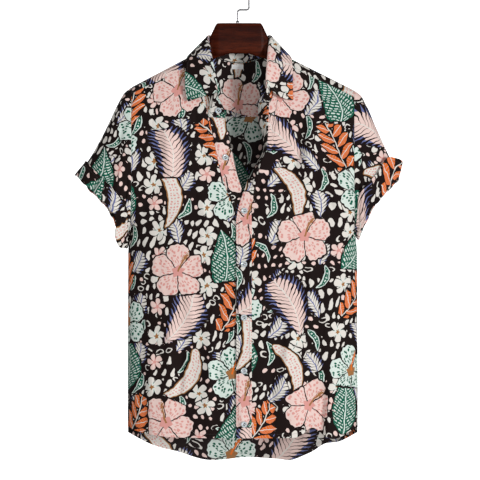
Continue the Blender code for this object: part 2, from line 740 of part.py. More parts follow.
def hanger(made_of):
    """Block and arms, lofted along x through sections that round off under the cloth."""
    block = np.concatenate([-BLOCK["reach"][:0:-1], BLOCK["reach"]])
    arm_left = np.array([ARM_LEFT, *ARM_STATIONS[0]]) - BLOCK_X
    arm_right = np.array([*ARM_STATIONS[1], ARM_RIGHT]) - BLOCK_X
    turn = 2 * math.pi * np.arange(WOOD_SIDES) / WOOD_SIDES
    rings = []
    for reach in np.concatenate([arm_left, block, arm_right]):
        x = BLOCK_X + reach
        if abs(reach) <= BLOCK["reach"][-1]:
            top = np.interp(abs(reach), BLOCK["reach"], BLOCK["top"])
            low = np.interp(abs(reach), BLOCK["reach"], BLOCK["low"])
            thin = ramp((abs(reach) - BLOCK_EVEN) / BLOCK_TAPER)
            thick = BLOCK_THICK + (BLOCK_THIN - BLOCK_THICK) * thin
            power = BLOCK_SQUARE - SQUARE_FADE * thin
        else:
            along = abs(reach) / (ARM_RIGHT - BLOCK_X)
            top = ridge(x) - ARM_CLEAR
            low = top - (ARM_HIGH_NECK + (ARM_HIGH_TIP - ARM_HIGH_NECK) * along)
            thick, power = shoulder_round(x) - ARM_THIN, 2.0
        if x in (ARM_LEFT, ARM_RIGHT):
            top, low, thick = top - END_DROP, low + END_DROP, thick * END_SHARE
        y = thick * np.sign(np.cos(turn)) * np.abs(np.cos(turn)) ** (2 / power)
        z = np.sign(np.sin(turn)) * np.abs(np.sin(turn)) ** (2 / power)
        z = (top + low) / 2 + (top - low) / 2 * z
        rings.append(np.stack([np.full_like(y, x), y, z], -1))
    return tube("hanger", np.stack(rings), made_of)


def arc(centre, radius, start, end, count):
    turn = np.radians(spaced(start, end, count))
    return [(centre[0] + radius * math.cos(a), centre[1] + radius * math.sin(a)) for a in turn]


def hook(made_of):
    """Wire from the block, a jog to the side, and the loop over the rail."""
    loop_z = WIRE - LOOP
    path = [(0, HOOK_BASE_Z), (0, HOOK_BASE_Z + FERRULE_HIGH), (0, HOOK_BASE_Z + FERRULE_HIGH + 0.6)]
    path += arc((JOG_ROUND, JOG_Z - JOG_ROUND), JOG_ROUND, 180, 90, 4)
    path += arc((LOOP - JOG_ROUND, JOG_Z + JOG_ROUND), JOG_ROUND, -90, 0, 4)
    path += arc((0, loop_z), LOOP, 0, 180, 15)
    path += [(-LOOP, loop_z - HOOK_END / 2), (-LOOP, loop_z - HOOK_END)]
    path = np.array(path)
    radii = np.full(len(path), WIRE)
    radii[:2] = FERRULE
    along = unit(np.gradient(path, axis=0))
    turn = 2 * math.pi * np.arange(WIRE_SIDES) / WIRE_SIDES
    rings = []
    for (x, z), (ax, az), radius in zip(path, along, radii):
        out, side = radius * np.cos(turn), radius * np.sin(turn)
        rings.append(np.stack([x - az * out, side, z + ax * out], -1))
    return tube("hook", np.stack(rings), made_of)


# The shirt


def remove_all():
    for old in list(bpy.data.objects):
        bpy.data.objects.remove(old)


def make_fronts(made_of):
    """Both fronts with their strips. Returns the placket's grid, for the buttons."""
    strips = {}
    for side, name, strip_name in ((-1, "front_right", "button_band"), (1, "front_left", "placket")):
        grid = front_grid(side, FRONT_ROWS, STRIP_COLUMNS, NECK_COLUMNS, SHOULDER_COLUMNS)
        away = np.array([0.0, -1.0, 0.0])
        strip = trim(grid[:, :STRIP_COLUMNS], columns=(False, False))
        seam = grid[-1, :, 0] * side > NECK_RIGHT
        closed = grid[:, -1, 2] < UNDERARM_Z
        square = ((-1, seam, 2), (closed, -1, 1))
        cloth(name, trim(grid, rows=(False, True)), away, made_of, square=square)
        cloth(strip_name, strip, away, made_of, out=GAP + FINE, thick=FINE)
        strips[side] = strip + normals(strip, away) * (GAP + FINE)
    return strips


def make_buttons(strips, made_of):
    """Five fastened buttons, the undone one on the band and the one at the stand's end."""
    for k in range(BUTTONS):
        place = on_strip(strips[1], BUTTON_TOP_Z - k * BUTTON_PITCH)
        button(f"button_{k + 1}", *place, made_of)
    button("button_band_top", *on_strip(strips[-1], BUTTON_TOP_Z + BUTTON_PITCH), made_of)
    end = stand_grid(STAND_COLUMNS, STAND_ROWS)[:, :5]
    facing = normals(end, np.array([-1.0, -1.0, 0.0]))[1, 2]
    button("button_stand", end[1, 2] + facing * 3 * GAP, facing, made_of)


def on_strip(strip, z):
    """The middle of a strip at a height, just clear of its face, and the way the face looks."""
    middle = strip[:, 1] * 0.5 + strip[:, 2] * 0.5
    place = np.array([np.interp(z, middle[:, 2], middle[:, axis]) for axis in range(3)])
    n = normals(strip, np.array([0.0, -1.0, 0.0]))
    row = int(np.argmin(np.abs(middle[:, 2] - z)))
    facing = unit(n[row, 1] + n[row, 2])
    return place + facing * GAP, facing


def make_label(made_of):
    x, s = np.meshgrid(spaced(-LABEL_HALF, LABEL_HALF, 4), spaced(LABEL_TOP, LABEL_LOW, 3))
    grid = over_shoulder(x, s)
    cloth("label", grid, np.array([0.0, 1.0, 0.0]), made_of, out=-(CLOTH + FINE + 2 * GAP), thick=FINE)


def main():
    remove_all()
    print_cloth = material("printed_cloth", (0.035, 0.025, 0.025), 0.55)
    wood = material("hanger_wood", (0.09, 0.02, 0.01), 0.25)
    steel = material("hook_steel", (0.55, 0.55, 0.55), 0.3, 1.0)
    pearl = material("button_resin", (0.8, 0.8, 0.78), 0.2)
    white = material("label_tape", (0.85, 0.85, 0.85), 0.8)

    strips = make_fronts(print_cloth)
    make_buttons(strips, pearl)
    back = trim(back_grid(BACK_ROWS, BACK_COLUMNS), rows=(False, True))
    closed = back[:, 0, 2] < UNDERARM_Z
    square = ((-1, ALL, 2), (closed, 0, 1), (closed, -1, 1))
    cloth("back", back, np.array([0.0, 1.0, 0.0]), print_cloth, square=square)
    yoke = trim(yoke_grid(YOKE_ROWS, *YOKE_COLUMNS))
    out = yoke - np.array([0.0, 0.0, YOKE_SEAM_Z])
    seams = np.abs(yoke[-1, :, 2] - YOKE_SEAM_Z) < 1
    square = ((ALL, 0, 2), (ALL, -1, 2), (-1, seams, 2))
    cloth("yoke", yoke, out, print_cloth, square=square)
    cloth("inner_yoke", yoke, out, print_cloth, -(CLOTH + GAP), FINE, square=square)
    make_label(white)
    for side, name in ((-1, "right"), (1, "left")):
        sleeve = sleeve_grid(side, np.array(SLEEVE_ROWS, float), SLEEVE_COLUMNS)
        axis = sleeve.mean(axis=1, keepdims=True)
        start = ((0, ALL, 0),)
        cloth("sleeve_" + name, sleeve, sleeve - axis, print_cloth, around=True, square=start)
        cuff("cuff_" + name, side, SLEEVE_COLUMNS, print_cloth)
    stand = stand_grid(STAND_COLUMNS, STAND_ROWS)
    outside = stand - np.array([NECK_MIDDLE, 0.0, NECK_Z])
    cloth("collar_stand", stand, outside, print_cloth)
    leaf, lift = leaf_grid(LEAF_COLUMNS)
    cloth("collar_leaf", leaf, lift[None], print_cloth)
    hanger(wood)
    hook(steel)


main()
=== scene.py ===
"""The looks of a short-sleeved hawaiian shirt on its wooden hanger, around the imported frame.

Lengths are millimetres until a mesh is made. The origin is the inside top of the hook, the front
faces -Y, +X is the viewer's right (the wearer's left) and +Z is up.
"""

import json
import math

import bmesh
import bpy
import numpy as np
from mathutils import Matrix, Vector

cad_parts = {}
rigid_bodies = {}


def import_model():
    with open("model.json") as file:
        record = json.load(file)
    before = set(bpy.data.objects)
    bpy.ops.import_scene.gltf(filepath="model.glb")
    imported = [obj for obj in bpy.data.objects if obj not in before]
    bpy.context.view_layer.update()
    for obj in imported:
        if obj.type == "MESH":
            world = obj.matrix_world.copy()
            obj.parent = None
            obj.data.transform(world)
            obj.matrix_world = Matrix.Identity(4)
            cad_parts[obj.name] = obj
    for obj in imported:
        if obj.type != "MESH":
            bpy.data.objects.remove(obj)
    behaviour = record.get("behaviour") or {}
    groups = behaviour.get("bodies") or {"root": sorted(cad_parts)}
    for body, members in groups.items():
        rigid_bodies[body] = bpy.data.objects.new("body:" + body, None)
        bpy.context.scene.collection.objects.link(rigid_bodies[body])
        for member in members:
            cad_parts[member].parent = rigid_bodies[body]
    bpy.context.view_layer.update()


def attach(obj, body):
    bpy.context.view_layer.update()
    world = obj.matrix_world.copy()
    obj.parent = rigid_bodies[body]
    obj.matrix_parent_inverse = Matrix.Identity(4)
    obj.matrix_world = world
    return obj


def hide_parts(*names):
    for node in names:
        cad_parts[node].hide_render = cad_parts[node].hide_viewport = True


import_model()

MM = 0.001
FINE_NAME = "fine_"  # sets the pieces apart from the solids they stand for
ALL = slice(None)
FRONT, BACK = np.array([0.0, -1.0, 0.0]), np.array([0.0, 1.0, 0.0])
UP = np.array([0.0, 0.0, 1.0])
WEARERS = {-1: "right", 1: "left"}  # the wearer's side, by the sign of x

# Cloth
CLOTH = 0.7  # wall of a panel
FINE = 0.6  # wall of a band, the inner yoke and the label
STIFF = 1.3  # wall of the collar's leaf and stand, with its interlining
GAP = 0.25  # space between two layers
SEAM = 0.05  # space left at a seam
LAP = 3.6  # how far the upper front lies in front of the lower one
LAP_END, LAP_FADE = 95.0, 50.0  # x where that ends, and the width in which it fades
SEAM_DIP, SEAM_SOFT = 0.55, 1.6  # how deep and how far a panel turns in at a seam
HEM = 8.0  # width of the turned hem
HEM_STEP, HEM_SOFT = 0.45, 0.9  # what its fold adds to the wall, and in what width
BAND_DIP, LEAF_DIP = 0.3, 0.35  # how deep the bands and the leaf turn in at their seams
SEAM_STEPS, CLOSE_STEPS, STRIP_STEPS = (0.7, 1.6, 3), (0.7, 1.6), (0.7, 1.6, 5)  # points beside seams
EDGE_STEPS, LEAF_STEPS, HEM_STEPS = (0.8, 2), (0.8, 2, 4.5), (0.8, 2, 4, 7.2, 8.2)  # and free edges

# Shoulder line
NECK_Z = -118.0
NECK_LEFT, NECK_RIGHT = -62.0, 63.0
NECK_MIDDLE = (NECK_LEFT + NECK_RIGHT) / 2 + 3
SLOPE_LEFT, SLOPE_RIGHT = 0.527, 0.5
CORNER = 8.0  # softness of the corner between neck and shoulder
ROUND_NECK, ROUND_TIP = 11.0, 17.0  # radius of the cloth over the hanger's arm
ARM_REACH = 130.0  # from the neck to the shoulder tip
FILL_OUT = 120.0  # drop in which the cloth falls out to its full depth
TIP_Z, ARMHOLE_Z = -200.0, -188.0  # where the x of a shoulder tip and of an armhole's top are read

# Body
UNDERARM_Z = -440.0
ARMHOLE_OPEN = 130.0  # height above the underarm where the section is fully open
ARMHOLE_POWER = 1.1  # how soon it opens
SECTION_POWER, DEPTH_POWER = 2.3, 2.2  # roundness of the body's section at its sides
FOLD_FADE = 4  # how late the folds fade out towards the side seams
FOLD_SOON = 1.6  # how soon they deepen on their way to the hem
CREASED = 1.9  # how much deeper than their table the creases are
ROLL_POWER = 1.4  # how late the open edge starts to roll in
CLOSER_FRONT, CLOSER_BACK = 1.3, 0.35  # how much closer the points lie towards the side seams
NECK_BULGE, BULGE_HALF, BULGE_FADE = 22.0, 66.0, 90.0  # the stand pushes the back neck out
BULGE_POWER = 0.75  # how square that bulge is
YOKE_FRONT = 22.0  # front yoke seam, measured over the shoulder
YOKE_SEAM_Z = -238.0
YOKE_CUT = (1.12, -1)  # spread of the yoke round the neck as it was cut, and its way up
YOKE_SHOULDER, YOKE_CORNER = 1 / 6, 0.3  # shares of its neck edge up to the shoulder and the corner
YOKE_CLOSER = 1.5  # how much closer its columns lie beside the shoulder line
INNER_RISE, RISE_X, RISE_WIDE = 14.0, -30.0, 34.0  # rise of the inner yoke's edge, and where
HEM_BACK_Z, HEM_BACK_RISE, HEM_BACK_POWER = -858.6, 52.0, 2.7  # middle, rise to the sides, its power
HEM_FRONT_Z, HEM_FRONT_RISE, HEM_FRONT_POWER = -815.0, 18.0, 5
SIDE_HEM_Z = -800.0  # where the hem meets the side seams
STRIP = 28.0  # width of the placket and of the button band
NECK_SHARE = 0.4  # share of a front's top that the neckline takes
STRIP_TOP_POWER = 6  # how soon the slant of the strip's top end fades below it

# Sleeves, by the side
CUFF = {-1: 29.0, 1: 36.0}  # widths of the turned-up ends
FLARE = {-1: 0.0, 1: 15.5}  # how far their free edges stand off at the outer tip
FLARE_POWER = 1.3  # how late on its way up the turned-up end starts to stand off there
CUFF_SHARE = 0.75  # most of the sleeve's length that it covers, which is near the underarm
REACH_SOFT = 2.5  # softness of that limit
CUFF_CLEAR = 0.6  # between the sleeve and the part turned up over it
CUFF_PUFF, CUFF_ROLL = 2.2, 2.0  # how far that part stands off in its middle, and at its soft fold
PUFFS, PUFF_VARIES = 6, 0.5  # waves round the sleeve in which the first varies, and by how much
ROLLS, ROLL_VARIES = 8, 0.4  # and the second
CUFF_PEAK, PEAK_AWAY, PEAK_WIDE = 0.33, 0.085, 0.05  # the left cuff is turned up further there
CUFF_LIP = 2.6  # how far the free edge stands off all round
TIP_SHORT = 0.2  # share of its width that the left one loses at the outer tip
CAP_OUT, CAP_POWER = (0.85, 0, 0.53), 1.5  # which way the sleeve's top stands out, and how narrowly
CREASE_OUT = (0.4, 1, 0.4)  # a sleeve's creases move the cloth mostly to the front and the back
CREASE_START = 5  # 1 / share of the sleeve in which they start
CRUMPLE_VARIES, CRUMPLE_GROUPS = 0.38, 3  # how much the crumpling varies, and how often all round
SLEEVE_GIRTH, SLEEVE_DROP = 430.0, 130.0  # of the cut, for placing creases

# Label, on the inner yoke
LABEL_HALF, LABEL_TOP, LABEL_LOW = 10.7, 32.0, 40.5  # half width, and drops from the shoulder line
LABEL_BOW = 0.5  # how far its middle bows off the yoke

# Buttons
BUTTON_TOP_Z, BUTTON_PITCH, BUTTONS = -408.6, 95.4, 5
BUTTON_SIDES = 56

# Hanger and hook
BLOCK_X, BLOCK_THICK, BLOCK_THIN = 2.7, 9.0, 6.5  # half thickness in the middle and at its sides
BLOCK_EVEN, BLOCK_TAPER = 36.0, 16.0  # reach of the even middle, and width of the taper beside it
BLOCK_REACH = 62  # to just past its sides
ARM_LEFT, ARM_RIGHT = -184.0, 202.0
BLOCK_SQUARE, SQUARE_FADE = 6.0, 3.4  # squareness of the block's section, and what its sides lose
ARM_CLEAR, ARM_THIN = 3.5, 5.4  # cloth and play above the arm, and on each side of it
ARM_HIGH_NECK, ARM_HIGH_TIP = 23.0, 17.0
ARM_END, ARM_BLUNT = 6.0, 0.35  # length in which an arm's end rounds off, and what is left of it
WIRE = 1.6  # radius of the hook's wire
LOOP = 20.7  # radius of the centre line of the hook's loop
HOOK_BASE_Z, JOG_Z, JOG_ROUND = -69.6, -46.5, 5.0
HOOK_END = 7.0  # straight end of the hook below its loop

# Sewing
SHARP = math.radians(50)
EDGES = {"low": (0, False), "high": (0, True), "left": (1, False), "right": (1, True)}
STRIP_STITCH, EDGE_STITCH, LEAF_STITCH, CUFF_STITCH = 4.0, 1.6, 5.0, 6.0  # stitching's distance in
STRIP_PUCKER, PUCKER_PITCH = 0.18, 17.0  # height and length of the waves along a strip
STITCH_PITCH, STITCH_LONG, STITCH_THICK = 2.8, 2.2, 0.42  # pitch, length and thickness of stitches
STITCH_PROUD = 0.25  # share of its thickness by which a stitch's middle stands out

# Turned profiles, rows of radius and height
BUTTON_PROFILE = (
    (0, 0), (4.4, 0), (5.1, 0.25), (5.6, 0.85), (5.7, 1.4), (5.55, 2.0), (5.15, 2.4), (4.75, 2.45),
    (4.35, 2.25), (3.9, 1.85), (3.3, 1.6), (2.4, 1.5), (0, 1.5),
)
FERRULE_PROFILE = ((0, 0), (3.3, 0), (3.3, 1.9), (3.1, 2.3), (2.5, 2.6), (2.2, 3.0), (1.7, 3.2), (0, 3.2))
HOLE, HOLE_APART, THREAD = 0.85, 1.55, 0.36  # radii, and the holes' distance from each middle line
STRANDS_APART = 0.75  # of a strand's radius, each way from the bar's middle
TURNS = (12, -20, 34, 8, -35, 24, 50)  # degrees that each button is turned by
WOOD_SIDES = 44
LEAF_FOLD_ROWS = 5  # rows of the refined leaf that belong to its fold

# Camera, light and ground
FRAME_HIGH = 864.0  # height of the picture at the hanger
VIEW_X, VIEW_Z = 4.5, -460.8
LENS, SENSOR = 400.0, 36.0
GROUND_Z, GROUND_REACH = -1050.0, 1900.0
SKY, SKY_SEEN = 0.33, 1.6  # how much the white surroundings light, and how bright they look
LAMPS = (  # name, kind, place in metres, size and energy
    ("key", "SUN", (2.2, -2.6, -0.50), 12, 2.05),
    ("front", "AREA", (0.3, -3.4, -0.1), 1.0, 17),
    ("fill", "AREA", (-1.8, -2.3, -0.9), 1.6, 8),
    ("back", "AREA", (-0.8, 2.6, 1.2), 1.6, 44),
)

# Print, in millimetres of the flat cut
HAND = 5.0  # how far the hand-drawn outlines stray
LARGE, SMALL = (100.0, 0.5, 6), (46.0, 0.6, 4)  # spacing, scatter and kinds of the motifs
TURN = 1.5  # how far, in radians, motifs turn from upright
DROP_CELL, RING_CELL = (13.5, 19.0), (17.5, 13.5)  # room of each small mark, across and along
STRAY = 0.2  # how far, in cells, a small mark strays
BEND, SLOW = 34.0, 85.0  # how far their rows wander, and how slowly
CRINKLE_WIDE, CRINKLE_LONG, CRINKLE_DEEP = 22.0, 120.0, 2.6  # fine wrinkles of the hanging cloth
MUTED = 0.14  # how much duller the cloth's back is

# Sheets of cloth: the rectangle each was cut from in metres, its area in square metres, and what
# it hangs from.
SHEETS = {
    "front_right": ((0.27, 0.70), 0.158, ["hanger", "yoke"]),
    "front_left": ((0.27, 0.70), 0.158, ["hanger", "yoke"]),
    "back": ((0.50, 0.64), 0.29, ["yoke"]),
    "yoke": ((0.43, 0.15), 0.052, ["hanger"]),
    "inner_yoke": ((0.43, 0.15), 0.052, ["hanger"]),
    "sleeve_right": ((0.44, 0.14), 0.039, ["front_right", "back"]),
    "sleeve_left": ((0.42, 0.12), 0.032, ["front_left", "back"]),
    "cuff_right": ((0.38, 0.031), None, ["sleeve_right"]),
    "cuff_left": ((0.34, 0.036), None, ["sleeve_left"]),
    "collar_stand": ((0.42, 0.031), None, ["yoke"]),
    "collar_leaf": ((0.42, 0.06), None, ["collar_stand"]),
    "button_band": ((0.03, 0.62), None, ["front_right"]),
    "placket": ((0.03, 0.62), None, ["front_left"]),
    "label": ((0.0214, 0.0105), None, ["inner_yoke"]),
}


def table(columns, *rows):
    """Rows of numbers under named columns."""
    return {name: np.array([row[i] for row in rows], float) for i, name in enumerate(columns.split())}


# Waves of the front hem (face -1) and of the back one (face 1).
HEM_WAVES = table(
    "face x height width",
    (-1, 134, 17, 17),
    (-1, 176, -8, 20),
    (1, -110, 3.5, 26),
    (1, -52, -2.5, 26),
    (1, 20, 4.5, 34),
    (1, 98, -5.5, 20),
    (1, 158, 8.0, 18),
)

# Outline of the body in front view, on the wearer's right and left: the armhole seams above the
# underarm, the side seams below it.
SIDES = table(
    "z right left",
    (-860, -197.6, 216.4),
    (-800, -197.6, 216.4),
    (-486, -197, 215.4),
    (-440, -193, 211.5),
    (-335, -190.5, 209.5),
    (-188, -191, 210),
)

# Half depth of the hanging body at its middle.
DEPTHS = table(
    "z front back",
    (-860, 71, 66),
    (-640, 66, 62),
    (-440, 61, 58),
    (-300, 56, 54),
    (-188, 50, 50),
)

# The largest folds of the hanging cloth, front (face -1) and back (face 1).
FOLDS = table(
    "face x_top x_low z_top width height",
    (-1, -120, -150, -330, 24, 6),
    (-1, -70, -92, -420, 22, -5),
    (-1, 96, 100, -400, 24, 5),
    (-1, 140, 137, -420, 20, -9),
    (-1, 168, 182, -330, 20, 7),
    (1, -110, -140, -300, 26, 7),
    (1, -40, -60, -280, 26, -6),
    (1, 30, 30, -280, 28, 6),
    (1, 90, 108, -280, 26, -6),
    (1, 150, 172, -330, 22, 6),
)

# Front edges above the top fastened button: edge, seam of the strip, and how far the edge rolls in.
RIGHT_EDGE = table(
    "z edge roll",
    (-860, 25.6, 0),
    (-430, 25.6, 0),
    (-405, 21, 0),
    (-377, 10.3, 1),
    (-337, -2.7, 5),
    (-295, -11.7, 8),
    (-243, -22.5, 6),
)
LEFT_EDGE = table(
    "z edge seam roll",
    (-860, -2.2, 25.6, 0),
    (-430, -2.2, 25.6, 0),
    (-404, 1.5, 24.5, 0),
    (-384, 7.5, 28, 0),
    (-372, 12, 29, 1),
    (-350, 20, 35, 14),
    (-326, 33, 41, 24),
    (-295, 47, 53, 26),
    (-272, 45.5, 54.5, 25),
    (-250, 37.5, 55.5, 21),
    (-214, 37.5, 56.7, 20),
)

# The collar, from the wearer's right stand end round the back to the left one. neck_s is measured
# over the shoulder line, minus in front. The leaf runs from row 1 to row 13.
COLLAR = table(
    "neck_x neck_s top_x top_y top_z edge_x edge_y edge_z",
    (-22.5, -131.3, -20.7, -47, -234, -80, -38, -215),
    (-50.5, -128.0, -37.0, -50, -199, -88.5, -37, -212.4),
    (-58.0, -92.0, -38.5, -46, -182, -93, -35, -195),
    (-62.5, -50.0, -45.0, -36, -150, -94.5, -30, -172),
    (-62.5, -22.0, -50.5, -19, -119, -93, -20, -145),
    (-60.0, 0.0, -52.6, 3, -95.4, -87.5, 3, -128.8),
    (-42.0, 19.0, -37.0, 30, -102, -52, 41, -142),
    (4.0, 30.0, 4.0, 39, -110, 4, 46, -153),
    (47.0, 19.0, 43.0, 30, -102, 59, 41, -142),
    (64.5, 0.0, 59.4, 3, -95.4, 93.5, 3, -129.8),
    (68.5, -22.0, 57.0, -19, -119, 98.5, -20, -145),
    (69.0, -50.0, 54.5, -36, -150, 99.5, -29, -168),
    (65.5, -76.0, 53.0, -43, -173, 99.5, -33, -188),
    (56.7, -101.0, 52.2, -46, -189, 99.3, -38, -210),
    (37.5, -103.0, 40.0, -26, -208, 92, -38, -214),
)
COLLAR_LAST, LEAF_FIRST, LEAF_LAST = 14, 1, 13
LEAF_ROWS = (0.09, 0.16, 0.24, 0.34, 0.45, 0.58, 0.72, 0.86, 1.0)  # shares of the way down the leaf
LEAF_FOLD = ((2.6, -1.8), (3.2, 0.5), (1.7, 2.5))  # up and out from the stand's top edge
YOKE_FIRST, YOKE_LAST = 4, 10
LEAF_HUMP, HUMP_POWER = 0.8, 0.7  # how far the leaf arches, and how near its fold
TIP_SAG, SAG_ROWS = 6.0, 0.5  # how far its left tip sags, and over how many rows of the table
STAND_CLEAR = 1.45  # along the stand, from the neck seam

# The fold at the end of each sleeve, at shares of the way round from the outer tip.
FOLD_RIGHT = table(
    "turn x y z",
    (0, -289, 0, -343),
    (0.125, -266, -27, -366),
    (0.25, -237, -36, -393),
    (0.36, -217, -29, -423),
    (0.44, -217.5, -17, -454),
    (0.475, -211.5, -10, -473),
    (0.505, -199.5, -3, -476),
    (0.54, -205, 9, -469),
    (0.625, -214.5, 25, -441),
    (0.75, -237.5, 36, -399.5),
    (0.875, -266.5, 27, -369),
)
FOLD_LEFT = table(
    "turn x y z",
    (0, 286.5, 0, -352),
    (0.125, 271.5, -27, -366),
    (0.25, 252, -36, -389),
    (0.36, 235, -30, -412),
    (0.45, 223, -14, -441),
    (0.5, 219, -3, -455),
    (0.55, 222, 9, -449),
    (0.625, 229, 24, -433),
    (0.75, 250, 36, -393),
    (0.875, 274, 27, -368),
)

SLEEVE_FOLDS = {-1: FOLD_RIGHT, 1: FOLD_LEFT}

# Crumpling of the sleeves' ends: waves round the ring, where each starts, how far it moves the
# cloth out, and how far it moves it along the sleeve.
CRUMPLE = table(
    "side waves start out along",
    (-1, 5, 0.6, 1.5, 0.8),
    (-1, 9, 2.2, 1.3, 1.2),
    (-1, 14, 4.4, 1.2, -1.1),
    (-1, 23, 1.3, 0.8, 0.7),
    (-1, 37, 3.1, 0.35, 0.3),
    (1, 4, 1.9, 1.2, 0.7),
    (1, 7, 0.3, 0.9, -0.8),
    (1, 13, 5.1, 0.7, 0.6),
    (1, 22, 2.7, 0.4, 0.35),
)
CRUMPLED = 0.45  # share of the sleeve, at its end, that is crumpled

# How far the top of the sleeve stands out of the straight line from shoulder to fold.
CAP = table(
    "along right left",
    (0, 0, 0),
    (0.1, 5.5, 7.5),
    (0.22, 4.5, 8.5),
    (0.4, 0.5, 7),
    (0.6, -3, 6),
    (0.8, -4.5, 5.5),
    (1, 0, 0),
)

# The hanger's block in front view, mirrored about BLOCK_X; reach is the distance from it.
BLOCK = table(
    "reach top low",
    (0, -70.2, -125.3),
    (17, -70.2, -125.3),
    (28.5, -70.2, -129.0),
    (39.0, -70.4, -131.8),
    (42.0, -73.4, -133.0),
    (53.0, -97.0, -137.5),
    (53.8, -112.0, -138.5),
    (54.8, -124.0, -139.5),
    (60.0, -124.4, -142.5),
)

# Creases of the worn cloth: middle, direction in degrees from +X, half length and half width of
# each, and how far it stands out (ridges) or in (troughs). Face -1 is the front, 1 the back.
CREASES = table(
    "face x z turn long wide deep",
    (-1, 130, -285, 86, 62, 11, 5.5),
    (-1, 108, -300, 80, 46, 8, -3.8),
    (-1, 131, -575, 88, 60, 9, 4.6),
    (-1, 117, -560, 86, 54, 8, -3.8),
    (-1, 163, -765, 88, 62, 8, 6.7),
    (-1, 152, -775, 86, 50, 6, -5.0),
    (-1, 189, -700, 91, 70, 6, -3.4),
    (-1, 172, -480, 104, 46, 7, -4.2),
    (-1, 182, -405, 118, 34, 7, 3.8),
    (-1, 164, -392, 126, 30, 6, -3.6),
    (-1, 90, -660, 84, 66, 8, 3.2),
    (-1, 62, -745, 92, 48, 8, -3.4),
    (-1, 60, -470, 76, 40, 6, -2.3),
    (-1, 82, -395, 66, 36, 6, 2.5),
    (-1, 46, -356, 58, 26, 5, -2.3),
    (-1, -171, -730, 93, 84, 8, -5.5),
    (-1, -158, -705, 91, 70, 7, 4.6),
    (-1, -121, -640, 87, 60, 8, 3.8),
    (-1, -103, -700, 85, 50, 7, -4.0),
    (-1, -84, -590, 94, 44, 8, 2.5),
    (-1, -50, -700, 88, 60, 8, 2.7),
    (-1, -34, -600, 82, 36, 6, -2.1),
    (-1, -168, -500, 78, 40, 7, 4.0),
    (-1, -176, -418, 62, 30, 6, -3.4),
    (-1, -150, -398, 55, 30, 7, 3.2),
    (-1, -126, -300, 96, 44, 9, 4.2),
    (-1, -104, -296, 100, 36, 7, -3.2),
    (-1, -66, -268, 110, 36, 7, -2.7),
    (-1, -56, -420, 104, 34, 6, 2.1),
    (-1, 10, -790, 96, 26, 8, 2.1),
    (1, -150, -330, 74, 50, 10, 4.6),
    (1, -120, -300, 82, 60, 9, -4.2),
    (1, -76, -420, 92, 70, 9, 4.2),
    (1, -30, -360, 88, 60, 8, -3.4),
    (1, 16, -330, 90, 70, 9, 3.8),
    (1, 66, -400, 95, 60, 8, -3.4),
    (1, 118, -310, 100, 56, 9, 4.4),
    (1, 158, -346, 110, 44, 9, -4.0),
    (1, 176, -430, 118, 34, 7, 3.8),
    (1, -172, -440, 64, 34, 7, 3.6),
    (1, -150, -620, 88, 80, 9, -4.6),
    (1, -96, -700, 90, 80, 8, 3.8),
    (1, -20, -720, 93, 70, 9, -3.6),
    (1, 40, -640, 87, 60, 8, 3.2),
    (1, 110, -740, 89, 80, 8, 4.4),
    (1, 150, -650, 94, 60, 7, -4.0),
    (1, 178, -760, 90, 60, 6, 2.9),
)

# Creases of the sleeves: angle round from the outer tip (0 to 1), share of the way down, direction
# in degrees from the ring's own, then as above, in millimetres of the sleeve's cut.
SLEEVE_CREASES = table(
    "side angle along turn long wide deep",
    (-1, 0.09, 0.35, 80, 50, 9, 2.4),
    (-1, 0.17, 0.45, 74, 56, 8, -2.7),
    (-1, 0.26, 0.55, 66, 46, 7, 2.2),
    (-1, 0.33, 0.35, 52, 34, 7, -3.0),
    (-1, 0.40, 0.55, 38, 30, 6, 2.0),
    (-1, 0.66, 0.45, 118, 44, 8, -2.7),
    (-1, 0.78, 0.50, 104, 50, 9, 2.5),
    (-1, 0.90, 0.40, 96, 46, 8, -2.1),
    (1, 0.08, 0.40, 84, 50, 9, 2.4),
    (1, 0.15, 0.35, 78, 44, 7, -2.5),
    (1, 0.24, 0.50, 70, 52, 8, 2.7),
    (1, 0.31, 0.30, 58, 32, 6, -2.7),
    (1, 0.38, 0.60, 44, 30, 6, 2.1),
    (1, 0.64, 0.50, 122, 42, 8, -2.7),
    (1, 0.76, 0.45, 108, 50, 9, 2.4),
    (1, 0.88, 0.50, 98, 46, 8, -2.2),
)

# Where each panel was cut from the printed length.
CUTS = {
    "front_right": (40, 120), "front_left": (610, 300), "button_band": (950, 40), "placket": (1310, 560),
    "back": (2020, 170), "yoke": (2700, 330), "inner_yoke": (3120, 820),
    "sleeve_right": (3765, 275), "sleeve_left": (4330, 410), "cuff_right": (4975, 122),
    "cuff_left": (5460, 700), "collar_stand": (6060, 350), "collar_leaf": (6590, 90),
}


def smooth(at, keys, values, free=False):
    """A smooth curve through (keys, values), level outside them. It only overshoots if free."""
    slopes = np.gradient(values, keys)
    if not free:
        steps = np.diff(values) / np.diff(keys)
        least = np.minimum(np.abs(steps[1:]), np.abs(steps[:-1]))
        limit = np.where(steps[1:] * steps[:-1] > 0, 1.5 * least, 0)
        slopes[1:-1] = np.clip(slopes[1:-1], -limit, limit)
    at = np.clip(at, keys[0], keys[-1])
    i = np.clip(np.searchsorted(keys, at) - 1, 0, len(keys) - 2)
    span = keys[i + 1] - keys[i]
    t = (at - keys[i]) / span
    low = values[i] * (2 * t**3 - 3 * t**2 + 1) + slopes[i] * span * (t**3 - 2 * t**2 + t)
    return low + values[i + 1] * (3 * t**2 - 2 * t**3) + slopes[i + 1] * span * (t**3 - t**2)


def column(rows, name, at):
    """A column of a table whose first column is its key, at any value of that key."""
    return smooth(at, rows[next(iter(rows))], rows[name])


def rows_for(rows, which):
    """The rows of a table that start with a value, without it."""
    return [row[1:] for row in zip(*rows.values()) if row[0] == which]


